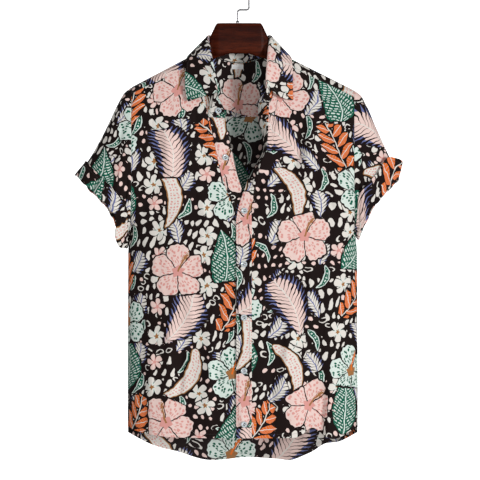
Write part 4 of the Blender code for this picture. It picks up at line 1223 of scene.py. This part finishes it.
def make_buttons(strips, pearl, thread):
    """Five fastened buttons, the undone one on the band and the one at the stand's end."""
    places = {f"{k + 1}": on_strip(strips[1], BUTTON_TOP_Z - k * BUTTON_PITCH) for k in range(BUTTONS)}
    places["band_top"] = on_strip(strips[-1], BUTTON_TOP_Z + BUTTON_PITCH)
    end = stand_grid(np.linspace(0, 1, 5), np.linspace(0, 1, 3))
    facing = normals(end, np.array([-1.0, -1.0, 0.0]))[1, 2]
    places["stand"] = (end[1, 2] + facing * 2 * GAP, facing)
    meshes = {"button_": button_mesh(pearl), "thread_": thread_mesh(thread)}
    for turn, (name, (place, facing)) in zip(TURNS, places.items()):
        aim = Vector(facing).to_track_quat("Z", "Y").to_matrix().to_4x4()
        turned = aim @ Matrix.Rotation(math.radians(turn), 4, "Z")
        for kind, mesh in meshes.items():
            made = added(FINE_NAME + kind + name, mesh.copy())
            made.data.transform(Matrix.Translation(Vector(place) * MM) @ turned)


def softened(values, times):
    """A row of numbers with its corners rounded off."""
    for _ in range(times):
        values = np.convolve(np.pad(values, 1, mode="edge"), (0.25, 0.5, 0.25), mode="valid")
    return values


def make_hanger(wood):
    """Block and arms, lofted along x through sections that round off under the cloth."""
    x = np.unique(np.concatenate([
        np.linspace(ARM_LEFT, ARM_RIGHT, 200),
        np.linspace(ARM_LEFT, ARM_LEFT + ARM_END, 9),
        np.linspace(ARM_RIGHT - ARM_END, ARM_RIGHT, 9),
        BLOCK_X + np.linspace(-BLOCK_REACH, BLOCK_REACH, 125),
    ]).round(4))
    reach = np.abs(x - BLOCK_X)
    thin = ramp((reach - BLOCK_EVEN) / BLOCK_TAPER)
    arm_top = ridge(x) - ARM_CLEAR
    arm_high = between(ARM_HIGH_NECK, ARM_HIGH_TIP, reach / (ARM_RIGHT - BLOCK_X))
    in_block = (
        np.interp(reach, BLOCK["reach"], BLOCK["top"]), np.interp(reach, BLOCK["reach"], BLOCK["low"]),
        between(BLOCK_THICK, BLOCK_THIN, thin), BLOCK_SQUARE - SQUARE_FADE * thin,
    )
    in_arm = (arm_top, arm_top - arm_high, shoulder_round(x) - ARM_THIN, 2.0)
    top, low, thick, power = (
        softened(np.where(reach <= BLOCK["reach"][-1], *pair), 5) for pair in zip(in_block, in_arm)
    )
    to_end = np.clip(np.minimum(x - ARM_LEFT, ARM_RIGHT - x) / ARM_END, 0, 1)
    full = ARM_BLUNT + (1 - ARM_BLUNT) * np.sqrt(1 - (1 - to_end) ** 2)
    middle, half = (top + low) / 2, (top - low) / 2 * full
    c, s = circle(WOOD_SIDES).T
    y = (thick * full)[:, None] * np.sign(c) * np.abs(c) ** (2 / power[:, None])
    z = middle[:, None] + half[:, None] * np.sign(s) * np.abs(s) ** (2 / power[:, None])
    tube("hanger", stacked(x[:, None], y, z), wood)


def arc(x, z, radius, start, end, count):
    turn = np.radians(np.linspace(start, end, count))
    return [(x + radius * math.cos(a), 0.0, z + radius * math.sin(a)) for a in turn]


def make_hook(steel):
    """Wire from the block, a jog to the side, the loop over the rail, and the ferrule at its foot."""
    loop_z = WIRE - LOOP
    path = [(0, 0, z) for z in np.linspace(HOOK_BASE_Z, JOG_Z - JOG_ROUND - 1, 8)]
    path += arc(JOG_ROUND, JOG_Z - JOG_ROUND, JOG_ROUND, 180, 90, 10)
    path += arc(LOOP - JOG_ROUND, JOG_Z + JOG_ROUND, JOG_ROUND, -90, 0, 10)
    path += arc(0, loop_z, LOOP, 0, 180, 60)
    drops = (HOOK_END / 2, HOOK_END - 1.6, HOOK_END - 0.8, HOOK_END - 0.25, HOOK_END)
    path += [(-LOOP, 0, loop_z - drop) for drop in drops]
    radii = np.full(len(path), WIRE)
    radii[-4:] = WIRE * np.array([1, 0.9, 0.6, 0.3])
    tube("hook", wire_rings(np.array(path, float), radii, 20), steel)
    ferrule = lathe("hook_ferrule", FERRULE_PROFILE, 40, steel)
    ferrule.data.transform(Matrix.Translation((0, 0, HOOK_BASE_Z * MM)))


# Stitching


class Nodes:
    """A node tree, and one way to add any node to it."""

    def __init__(self, tree):
        self.tree = tree

    def node(self, kind, settings=None, **inputs):
        made = self.tree.nodes.new(kind)
        for name, value in (settings or {}).items():
            setattr(made, name, value)
        for name, value in inputs.items():
            self.feed(made.inputs[name.replace("_", " ")], value)
        return made

    def out(self, kind, output, settings=None, **inputs):
        """One output of a new node."""
        return self.node(kind, settings, **inputs).outputs[output]

    def feed(self, socket, value):
        if isinstance(value, Value):
            value = value.socket
        if isinstance(value, bpy.types.NodeSocket):
            self.tree.links.new(value, socket)
        else:
            socket.default_value = value


def stitch_tree(thread):
    """Stitches at even steps along a line on the cloth, lying along it and facing out of it."""
    tree = bpy.data.node_groups.new("row_of_stitches", "GeometryNodeTree")
    for name, way in (("Line", "INPUT"), ("Stitches", "OUTPUT")):
        tree.interface.new_socket(name, in_out=way, socket_type="NodeSocketGeometry")
    nodes = Nodes(tree)
    put, turn = nodes.out, "FunctionNodeAlignRotationToVector"
    curve = put("GeometryNodeMeshToCurve", "Curve", Mesh=put("NodeGroupInput", "Line"))
    points = nodes.node(
        "GeometryNodeCurveToPoints", {"mode": "LENGTH"}, Curve=curve, Length=STITCH_PITCH * MM
    ).outputs
    facing = put(
        "GeometryNodeInputNamedAttribute", "Attribute", {"data_type": "FLOAT_VECTOR"}, Name="facing"
    )
    along = put(turn, "Rotation", {"axis": "X"}, Vector=points["Tangent"])
    flat = put(turn, "Rotation", {"axis": "Z", "pivot_axis": "X"}, Rotation=along, Vector=facing)
    ball = put("GeometryNodeMeshUVSphere", "Mesh", Segments=6, Rings=4, Radius=0.5)
    size = (STITCH_LONG * MM, STITCH_THICK * MM, STITCH_THICK * MM)
    stitch = put("GeometryNodeTransform", "Geometry", Geometry=ball, Scale=size)
    row = put(
        "GeometryNodeInstanceOnPoints", "Instances",
        Points=points["Points"], Instance=stitch, Rotation=flat,
    )
    for kind in ("GeometryNodeRealizeInstances", "GeometryNodeSetShadeSmooth"):
        row = put(kind, "Geometry", Geometry=row)
    row = put("GeometryNodeSetMaterial", "Geometry", Geometry=row, Material=thread)
    nodes.node("NodeGroupOutput", Stitches=row)
    return tree


def sew(name, lines, tree):
    """One mesh with the stitches of several lines, each given as its points and facings."""
    points = np.concatenate([line + facing * STITCH_THICK * STITCH_PROUD for line, facing in lines]) * MM
    facings = np.concatenate([facing for _, facing in lines])
    edges, start = [], 0
    for line, _ in lines:
        edges += [(start + i, start + i + 1) for i in range(len(line) - 1)]
        start += len(line)
    mesh = bpy.data.meshes.new(name)
    mesh.from_pydata(points.tolist(), edges, [])
    mesh.attributes.new("facing", "FLOAT_VECTOR", "POINT").data.foreach_set("vector", facings.ravel())
    made = added(name, mesh)
    made.modifiers.new("stitches", "NODES").node_group = tree
    finished = finished_mesh(made)
    made.modifiers.clear()
    made.data = finished
    return made


# Finishes


def operator(operation, swapped=False):
    """A method that adds a Math node."""

    def apply(value, other):
        pair = (other, value) if swapped else (value, other)
        return value.finish.maths(operation, *pair)

    return apply


class Value:
    """A number that a node gives. Arithmetic on it adds Math nodes."""

    def __init__(self, finish, socket):
        self.finish = finish
        self.socket = socket

    __add__ = __radd__ = operator("ADD")
    __mul__ = __rmul__ = operator("MULTIPLY")
    __sub__, __rsub__ = operator("SUBTRACT"), operator("SUBTRACT", swapped=True)
    __truediv__, __rtruediv__ = operator("DIVIDE"), operator("DIVIDE", swapped=True)
    __pow__ = operator("POWER")
    __mod__ = operator("FLOORED_MODULO")
    __lt__, __gt__ = operator("LESS_THAN"), operator("GREATER_THAN")

    def __abs__(self):
        return self.finish.maths("ABSOLUTE", self)


def maths_function(operation):
    """A function that adds a Math node to the material of its first value."""
    return lambda *values: values[0].finish.maths(operation, *values)


low, high, part, root, sine, floor = (
    maths_function(operation) for operation in ("MINIMUM", "MAXIMUM", "FRACT", "SQRT", "SINE", "FLOOR")
)


def ink(red, green, blue):
    """A printed colour, given as it looks."""
    return tuple(((c + 0.055) / 1.055) ** 2.4 if c > 0.04 else c / 12.92 for c in (red, green, blue))


INK = {
    "ground": ink(0.085, 0.050, 0.046), "ivory": ink(0.88, 0.86, 0.83), "mint": ink(0.84, 0.89, 0.86),
    "blush": ink(0.91, 0.80, 0.77), "salmon": ink(0.85, 0.60, 0.57), "periwinkle": ink(0.41, 0.44, 0.62),
    "orange": ink(0.86, 0.43, 0.15), "emerald": ink(0.05, 0.36, 0.28), "ochre": ink(0.62, 0.43, 0.26),
    "cast": ink(0.22, 0.15, 0.14), "reverse": ink(0.24, 0.22, 0.22),
}


class Finish(Nodes):
    """A material with a Principled shader."""

    def __init__(self, name, **sockets):
        self.made = bpy.data.materials.new(name)
        self.made.use_nodes = True
        super().__init__(self.made.node_tree)
        self.shader = self.tree.nodes["Principled BSDF"]
        self.wear(**sockets)

    def wear(self, **sockets):
        for name, value in sockets.items():
            self.feed(self.shader.inputs[name.replace("_", " ")], value)
        return self.made

    def calculated(self, kind, operation, values):
        made = self.node(kind, {"operation": operation})
        for socket, value in zip(made.inputs, values):
            self.feed(socket, value)
        return made.outputs[0]

    def maths(self, operation, *values):
        return Value(self, self.calculated("ShaderNodeMath", operation, values))

    def vector(self, operation, *values):
        return self.calculated("ShaderNodeVectorMath", operation, values)

    def value(self, *node, **inputs):
        return Value(self, self.out(*node, **inputs))

    def mix(self, factor, low, high):
        """Colour low where factor is 0 and high where it is 1, each a colour or an ink's name."""
        made = self.node("ShaderNodeMix", {"data_type": "RGBA"})
        self.feed(made.inputs[0], factor)
        for socket, colour in ((made.inputs[6], low), (made.inputs[7], high)):
            colour = INK[colour] if isinstance(colour, str) else colour
            self.feed(socket, (*colour, 1) if isinstance(colour, tuple) else colour)
        return made.outputs[2]

    def place(self):
        return self.out("ShaderNodeTexCoord", "Object")

    def cut(self):
        """The place on the flat cut."""
        return self.out("ShaderNodeUVMap", "UV", {"uv_map": "cut"})

    def parts(self, vector):
        return [Value(self, axis) for axis in self.node("ShaderNodeSeparateXYZ", Vector=vector).outputs]

    def noise(self, at, size, detail=2.0, **more):
        """Noise whose lumps have a size in the units of at."""
        return self.value("ShaderNodeTexNoise", "Fac", Vector=at, Scale=1 / size, Detail=detail, **more)

    def bump(self, height, distance, strength=1.0, **more):
        sizes = {"Distance": distance * MM, "Strength": strength}
        return self.out("ShaderNodeBump", "Normal", Height=height, **sizes, **more)


def wood_finish():
    """Dark red-brown lacquered wood, its grain along the hanger."""
    finish = Finish("hanger_wood", Coat_Roughness=0.3, Specular_IOR_Level=0.03)
    long, short = (
        finish.out("ShaderNodeMapping", "Vector", Vector=finish.place(), Scale=scale)
        for scale in ((9, 60, 120), (60, 900, 1500))
    )
    streaks, pores = finish.noise(long, 1.0, 5.0, Roughness=0.62), finish.noise(short, 1.0)
    light = finish.maths("SMOOTH_MIN", (streaks - 0.4) * 3.2, 1.0, 0.2)
    colour = finish.mix(light, (0.026, 0.0032, 0.0010), (0.090, 0.0145, 0.0042))
    colour = finish.mix(pores > 0.62, colour, (0.006, 0.0015, 0.001))
    return finish.wear(
        Base_Color=colour, Roughness=0.42 + streaks * 0.2, Coat_Weight=0.02 + pores * 0.04,
        Normal=finish.bump(streaks * 0.6 + pores * 0.4, 0.12),
    )


def steel_finish():
    """Dark steel wire, faintly drawn."""
    finish = Finish("hook_steel", Metallic=1.0)
    drawn, marks = finish.noise(finish.place(), 0.0008, 3.0), finish.noise(finish.place(), 0.006, 4.0)
    return finish.wear(
        Base_Color=finish.mix(marks, (0.10, 0.10, 0.105), (0.26, 0.26, 0.27)),
        Roughness=0.22 + marks * 0.2, Normal=finish.bump(drawn, 0.02),
    )


def pearl_finish():
    """Milky resin, with faint clouds like mother of pearl."""
    finish = Finish("button_resin", IOR=1.53, Coat_Roughness=0.05, Subsurface_Weight=0.15)
    cloud = finish.noise(finish.place(), 0.004, 3.0, Distortion=1.5)
    colour = finish.mix(cloud, (0.40, 0.43, 0.45), (0.72, 0.74, 0.75))
    return finish.wear(Base_Color=colour, Roughness=0.12 + cloud * 0.12, Coat_Weight=0.4 + cloud * 0.2)


def thread_finish():
    """Dark sewing thread, with a twist."""
    finish = Finish("dark_thread", Sheen_Weight=0.3)
    twist = {"Vector": finish.place(), "Scale": 900.0, "Distortion": 1.0}
    twist = finish.value("ShaderNodeTexWave", "Fac", **twist)
    return finish.wear(
        Base_Color=finish.mix(twist, (0.018, 0.014, 0.014), (0.05, 0.04, 0.04)),
        Roughness=0.5 + twist * 0.3, Normal=finish.bump(twist, 0.05),
    )


def tape_finish():
    """White woven label tape, left blank."""
    finish = Finish("label_tape", Sheen_Weight=0.2)
    u, v, _ = finish.parts(finish.cut())
    ribs = sine(u * 16) * sine(v * 22)
    return finish.wear(
        Base_Color=finish.mix(ribs * 0.5 + 0.5, (0.78, 0.78, 0.77), (0.90, 0.90, 0.89)),
        Roughness=0.75 + ribs * 0.08, Normal=finish.bump(ribs, 0.06),
    )


# The print


class Print(Finish):
    """Motifs drawn by their distance from the outline, in millimetres of cloth, negative inside."""

    def turned(self, vector, angle):
        return self.out(
            "ShaderNodeVectorRotate", 0, {"rotation_type": "Z_AXIS"}, Vector=vector, Angle=angle
        )

    def joined(self, x, y):
        return self.out("ShaderNodeCombineXYZ", 0, X=x, Y=y)

    def wander(self, at, size, detail):
        """A slow change of colour, for its channels."""
        flat = {"noise_dimensions": "2D"}
        return self.out("ShaderNodeTexNoise", "Color", flat, Vector=at, Scale=1 / size, Detail=detail)

    def nearest(self, at, pitch, scatter, kinds):
        """x and y from the middle of the nearest motif, what kind it is, and the room left before
        the next one."""
        flat = {"voronoi_dimensions": "2D"}
        spread = {"Vector": at, "Scale": 1 / pitch, "Randomness": scatter}
        near = self.node("ShaderNodeTexVoronoi", flat, **spread).outputs
        flat["feature"] = "DISTANCE_TO_EDGE"
        room = self.value("ShaderNodeTexVoronoi", "Distance", flat, **spread) * pitch
        chance = self.parts(near["Color"])
        off = self.vector("SUBTRACT", at, near["Position"])
        x, y, _ = self.parts(self.turned(off, (chance[0] - 0.5) * TURN))
        i, j, _ = self.parts(near["Position"])
        place = floor(i * (1 / pitch)) + floor(j * (1 / pitch)) * 2
        return x, y, (place % kinds) + chance[1] * 0.9, room

    def flecks(self, x, y, scatter=0.7):
        """Distance from the nearest of many small marks, whose cells are one unit wide."""
        return self.value(
            "ShaderNodeTexVoronoi", "Distance", {"voronoi_dimensions": "2D"},
            Vector=self.joined(x, y), Scale=1.0, Randomness=scatter,
        )

    def choose(self, test, first, second):
        """The first motif where the test is 0 and the second where it is 1."""
        blend = self.node("ShaderNodeMix", {"data_type": "FLOAT"})
        for socket, value in zip(blend.inputs[:1] + blend.inputs[2:4], (test, first[0], second[0])):
            self.feed(socket, value)
        return Value(self, blend.outputs[0]), self.mix(test, first[1], second[1])

    def pick(self, kind, chosen, *motifs):
        """The motif that a kind's number stands for."""
        for number, motif in enumerate(motifs, 1):
            chosen = self.choose(kind > number, chosen, motif)
        return chosen

    def stem(self, side, y, half, size):
        """The middle strip of a motif, between its two ends."""
        return high(side - half, abs(y) - size)

    def flower(self, x, y, size, notch, fill, mark, throat, pistil):
        """Five broad petals with marks along them, a throat and a pistil."""
        r, around = root(x * x + y * y), self.maths("ARCTAN2", y, x)
        petal = self.maths("PINGPONG", around, math.pi / 5) * (5 / math.pi)
        ripple = sine(around * 27) * 0.018 + sine(around * 11) * 0.014
        rim = (1 - notch * (1 - petal) ** 3 + ripple) * size
        rays = self.flecks(around * 5.6, r * (1 / 8.5))
        colour = self.mix((rays < 0.3) * (r > size * 0.27) * (r < rim - 3), fill, mark)
        colour = self.mix(petal * r < 1.5, colour, "ground")
        colour = self.mix(r < size * (0.16 + petal * 0.1), colour, throat)
        bent = abs(x - y * y * 0.006)
        colour = self.mix(bent + (y < 0) * 9 + (y > size * 0.72) * 9 < 1.7, colour, pistil)
        dots = self.flecks(x * 0.33, y * 0.33, 0.4)
        head = (dots < 0.34) * (bent < 4.5) * (y > size * 0.42) * (y < size * 0.86)
        return r - rim, self.mix(head, colour, pistil)

    def frond(self, x, y, size, pitch, fill, tip, rib):
        """A feather of narrow leaflets, its tips in a second colour."""
        side = abs(x + y * y * (0.2 / size) - size * 0.08)
        slope = y - side * 0.75
        reach = root(high(1 - (slope * (1 / size)) ** 2, 0)) * (size * 0.68)
        share = side / high(reach, 1)
        across = abs(part(slope * (1 / pitch)) - 0.5) * (pitch * 0.8)
        leaflet = high(across - pitch * 0.36 * (1 - share * share), side - reach)
        stem = self.stem(side, y, 1.1, size)
        colour = self.mix(share > 0.58 + part(slope * (0.5 / pitch)) * 0.14, fill, tip)
        return low(leaflet, stem), self.mix(side < 1.0, colour, rib)

    def broad_leaf(self, x, y, size, fill, stripe, rib):
        """A banana leaf with slanting broken stripes and a torn edge."""
        along = y * (1 / size)
        side = abs(x + y * along * 0.22)
        slope = y - side * 0.55
        torn = (part(slope * (1 / 13)) < 0.1) * (side - size * 0.2) * 0.8
        half = (1 - along * along) * (1 - along * 0.3) * (size * 0.5)
        stripes = abs(part(slope * (1 / 5.2)) - 0.5) * 5.2 - 1.1
        breaks = part(side * (1 / 8) + floor(slope * (1 / 5.2)) * 0.37) - 0.7
        colour = self.mix((stripes < 0) * (breaks < 0) * (side > 3) * (side < half - 2), fill, stripe)
        colour = self.mix(side < 1.2, colour, rib)
        return self.stem(side, y, half, size) + high(torn, 0), colour

    def spray(self, x, y, size, pitch, fill, vein, shade):
        """A stem with pairs of almond leaves."""
        bent = x + y * y * (0.25 / size) - size * 0.1
        side = abs(bent)
        step = (y - side * 0.85) * (1 / pitch) + (bent > 0) * 0.5
        across = abs((part(step) - 0.5) * (pitch * 0.76))
        reach = size * 0.56 * (1 - (y * (0.75 / size)) ** 2)
        share = side / high(reach, 1)
        half = sine(low(share, 1) * math.pi) * (pitch * 0.33)
        leaf = high(across - half, high(side - reach, abs(y) - size))
        colour = self.mix(part(share * 7 + across * 0.25) < 0.16, fill, shade)
        colour = self.mix((across < 0.55) * (side > 1.2), colour, vein)
        stem = self.stem(side, y, 0.9, size)
        return low(leaf, stem), self.mix(side < 0.9, colour, vein)

    def pod_leaf(self, x, y, size, fill, rim, dot):
        """A long curved leaf with a rim and a row of dots."""
        along = y * (1 / size)
        bent = abs(x + y * along * 0.42 - size * 0.14)
        half = root(high(1 - along * along, 0)) * (size * 0.25) * (1 + along * 0.25)
        edge = self.stem(bent, y, half, size)
        colour = self.mix(edge > -2.0, fill, rim)
        beads = self.flecks(bent * 0.16 + 0.2, y * 0.2, 0.3)
        return edge, self.mix((beads < 0.28) * (edge < -4), colour, dot)

    def blossom(self, x, y, size, fill, throat, shade):
        """A small five-petalled blossom with its petals swept round."""
        r, around = root(x * x + y * y), self.maths("ARCTAN2", y, x)
        petal = self.maths("PINGPONG", around + r * 0.022, math.pi / 5) * (5 / math.pi)
        rim = (0.30 + 0.70 * (1 - (1 - petal) ** 2.4)) * size
        colour = self.mix(petal * r < 0.22 * r + 0.5, fill, shade)
        return r - rim, self.mix(r < size * (0.12 + petal * 0.14), colour, throat)

    def bricks(self, at, wide, tall):
        """x and y from the middle of a cell, in rows set half a cell apart, its chance number, and
        a slow flow and region there."""
        u, v, _ = self.parts(at)
        v = v * (1 / tall)
        row = floor(v)
        u = u * (1 / wide) + row * 0.5
        cell, flat = self.joined(floor(u), row), {"noise_dimensions": "2D"}
        chance = self.parts(self.out("ShaderNodeTexWhiteNoise", "Color", flat, Vector=cell))
        x = (part(u) - 0.5 + (chance[0] - 0.5) * STRAY) * wide
        y = (part(v) - 0.5 + (chance[1] - 0.5) * STRAY) * tall
        middle = self.vector("SUBTRACT", at, self.joined(x, y))
        flow, region, _ = self.parts(self.wander(middle, SLOW, 0.0))
        return x, y, chance[2], (flow - 0.5) * 3, (region - 0.5) * 2.2 + 0.5

    def marks(self, at):
        """Rows of drops that lean with a slow flow, of rings and of small ovals."""
        x, y, chance, lean, region = self.bricks(at, *DROP_CELL)
        x, y, _ = self.parts(self.turned(self.joined(x, y), lean + chance * 0.4))
        size = 6.2 + chance * 1.8
        drop = root(x * x * high(4.6 + y / size * 3.2, 0.9) + y * y) - size
        oval = root(x * x * 1.7 + y * y) - size * 0.62
        drop = drop + (region > 0.5) * 20
        x, y, chance, _, ringed = self.bricks(at, *RING_CELL)
        ring = abs(root(x * x * 0.5 + y * y) - 4.1 - chance * 0.8) - 0.95
        ring = ring + (ringed < 0.53) * 20 + (ringed > 0.69) * 20
        return self.choose(region > 0.72, (low(drop, ring), "ivory"), (oval, "blush"))

    def large(self, at):
        """Hibiscus, fronds, leaf sprays, banana leaves and pods."""
        x, y, kind, room = self.nearest(at, *LARGE)
        rosy = kind > 3
        pairs = ("mint", "blush"), ("emerald", "salmon"), ("ochre", "salmon"), ("orange", "ochre")
        inks = [self.mix(rosy, *pair) for pair in pairs]
        flower = self.flower(x, y, 46 + rosy * 3, 0.42 - rosy * 0.08, *inks)
        frond = self.frond(x, y, 54, 8.2, "blush", "periwinkle", "ivory")
        spray = self.spray(x, y, 52, 21, "orange", "ivory", "salmon")
        banana = self.broad_leaf(x, y, 56, "emerald", "mint", "mint")
        pod = self.pod_leaf(x, y, 56, "ivory", "ochre", "salmon")
        edge, colour = self.pick(kind, flower, frond, spray, flower, banana, pod)
        return high(edge, 1.6 - room), colour

    def small(self, at, large):
        """Blossoms, ferns and leaves, clear of the large motifs."""
        x, y, kind, room = self.nearest(self.vector("ADD", at, (31, 17, 0)), *SMALL)
        rosy = kind > 2.4
        pairs = ("ivory", "blush"), ("ochre", "salmon"), ("mint", "salmon")
        blossom = self.blossom(x, y, 19 - rosy * 4, *(self.mix(rosy, *pair) for pair in pairs))
        fern = self.frond(x, y, 26, 6.4, "ivory", "periwinkle", "periwinkle")
        leaf = self.pod_leaf(x, y, 22, "emerald", "mint", "mint")
        edge, colour = self.pick(kind, blossom, fern, blossom, leaf)
        return high(high(edge, 1.2 - room), 3.2 - large), colour

    def weave(self, flat, colour, printed):
        """Fine plain weave, ink that lies a little unevenly, and the duller back of the cloth."""
        uneven = self.noise(flat, 30.0, 3.0)
        u, v, _ = self.parts(flat)
        threads = sine(u * 7.8) * sine(v * 7.8)
        hung = self.vector("MULTIPLY", flat, (1 / CRINKLE_WIDE, 1 / CRINKLE_LONG, 1))
        wrinkled = self.bump(self.noise(hung, 1.0, Distortion=0.6), CRINKLE_DEEP)
        inside = self.value("ShaderNodeAttribute", "Fac", {"attribute_name": "inside"})
        colour = self.mix(uneven * 0.12, colour, "cast")
        return self.wear(
            Base_Color=self.mix(inside * MUTED, colour, "reverse"),
            Roughness=0.74 - printed * 0.08 + uneven * 0.1,
            Normal=self.bump(threads * 0.5 + uneven, 0.12, 0.35, Normal=wrinkled),
        )


def print_finish():
    """The shirt's cloth: large and small motifs on near-black, with small marks in the spaces."""
    shirt = Print("printed_cloth", Specular_IOR_Level=0.1, Sheen_Weight=0.0)
    flat = shirt.cut()
    at = shirt.vector("MULTIPLY_ADD", shirt.wander(flat, 13, 1.0), (HAND, HAND, 0), flat)
    large, large_colour = shirt.large(at)
    small, small_colour = shirt.small(at, large)
    above = low(large, small)
    tiny, tiny_colour = shirt.marks(
        shirt.vector("MULTIPLY_ADD", shirt.wander(at, SLOW, 0.0), (BEND, BEND, 0), at)
    )
    tiny = shirt.maths("SMOOTH_MAX", tiny + high(7 - above, 0) * 0.4, 2.8 - above, 1.2)
    colour = "ground"
    for edge, printed in ((tiny, tiny_colour), (small, small_colour), (large, large_colour)):
        colour = shirt.mix(edge < 0, colour, printed)
    return shirt.weave(flat, colour, low(above, tiny) < 0)


# Camera, light and backdrop


def lamp(name, kind, place, size, energy):
    """A square lamp of a size in metres, or a far one whose size is its angle in degrees."""
    light = bpy.data.lights.new(name, kind)
    if kind == "SUN":
        light.angle = math.radians(size)
    else:
        light.size = size
    light.energy = energy
    made = added(name, light)
    made.location = place
    aim = Vector((0, 0, VIEW_Z * MM)) - Vector(place)
    made.rotation_euler = aim.to_track_quat("-Z", "Y").to_euler()


def make_studio():
    """White surroundings, a pale floor, four soft lamps and a camera straight ahead."""
    camera = bpy.data.cameras.new("camera")
    camera.sensor_width = SENSOR
    camera.lens = LENS
    camera.clip_end = 100
    made = added("camera", camera)
    made.location = (VIEW_X * MM, -LENS / SENSOR * (FRAME_HIGH * MM), VIEW_Z * MM)
    made.rotation_euler = (math.pi / 2, 0, 0)
    bpy.context.scene.camera = made

    paper = Finish("white_paper", Roughness=0.9, Base_Color=(0.9, 0.9, 0.9, 1)).made
    rim = circle(64) * GROUND_REACH
    points = stacked(*rim.T, GROUND_Z)
    piece("ground", points, [range(len(rim))], paper)

    bpy.context.scene.view_settings.view_transform = "Standard"
    world = bpy.data.worlds.new("studio")
    world.use_nodes = True
    bpy.context.scene.world = world
    sky = Nodes(world.node_tree)
    background = world.node_tree.nodes["Background"].inputs
    background["Color"].default_value = (1, 1, 1, 1)
    seen = sky.out("ShaderNodeLightPath", "Is Camera Ray")
    strength = sky.out("ShaderNodeMapRange", "Result", Value=seen, To_Min=SKY, To_Max=SKY_SEEN)
    sky.feed(background["Strength"], strength)
    for settings in LAMPS:
        lamp(*settings)


# The shirt


def fine(name):
    return bpy.data.objects[FINE_NAME + name]


def hold(made, *nodes, slot):
    """A finished piece rides on the one body and stands for its nodes, which it hides; slot is not used.
    """
    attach(made, "root")
    if nodes:
        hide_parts(*nodes)


def main():
    print_cloth, thread = print_finish(), thread_finish()
    strips, body_lines = make_fronts(print_cloth)
    body_lines += make_back(print_cloth) + make_yokes(print_cloth)
    lines = {"body": body_lines, "sleeves": make_sleeves(print_cloth), "collar": make_collar(print_cloth)}
    make_label(tape_finish())
    make_buttons(strips, pearl_finish(), thread)
    make_hanger(wood_finish())
    make_hook(steel_finish())
    tree = stitch_tree(thread)
    for name, rows in lines.items():
        hold(sew("stitching_" + name, rows, tree), slot="printed_cloth")
    for name, (flat, area, rests_on) in SHEETS.items():
        made = fine(name)
        hold(made, name, slot="label_tape" if name == "label" else "printed_cloth")
    for name in [f"{k + 1}" for k in range(BUTTONS)] + ["band_top", "stand"]:
        hold(fine("button_" + name), "button_" + name, slot="button_resin")
        hold(fine("thread_" + name), slot="printed_cloth")
    hold(fine("hanger"), "hanger", slot="hanger_wood")
    hold(fine("hook"), "hook", slot="hook_steel")
    hold(fine("hook_ferrule"), slot="hook_steel")
    make_studio()


main()
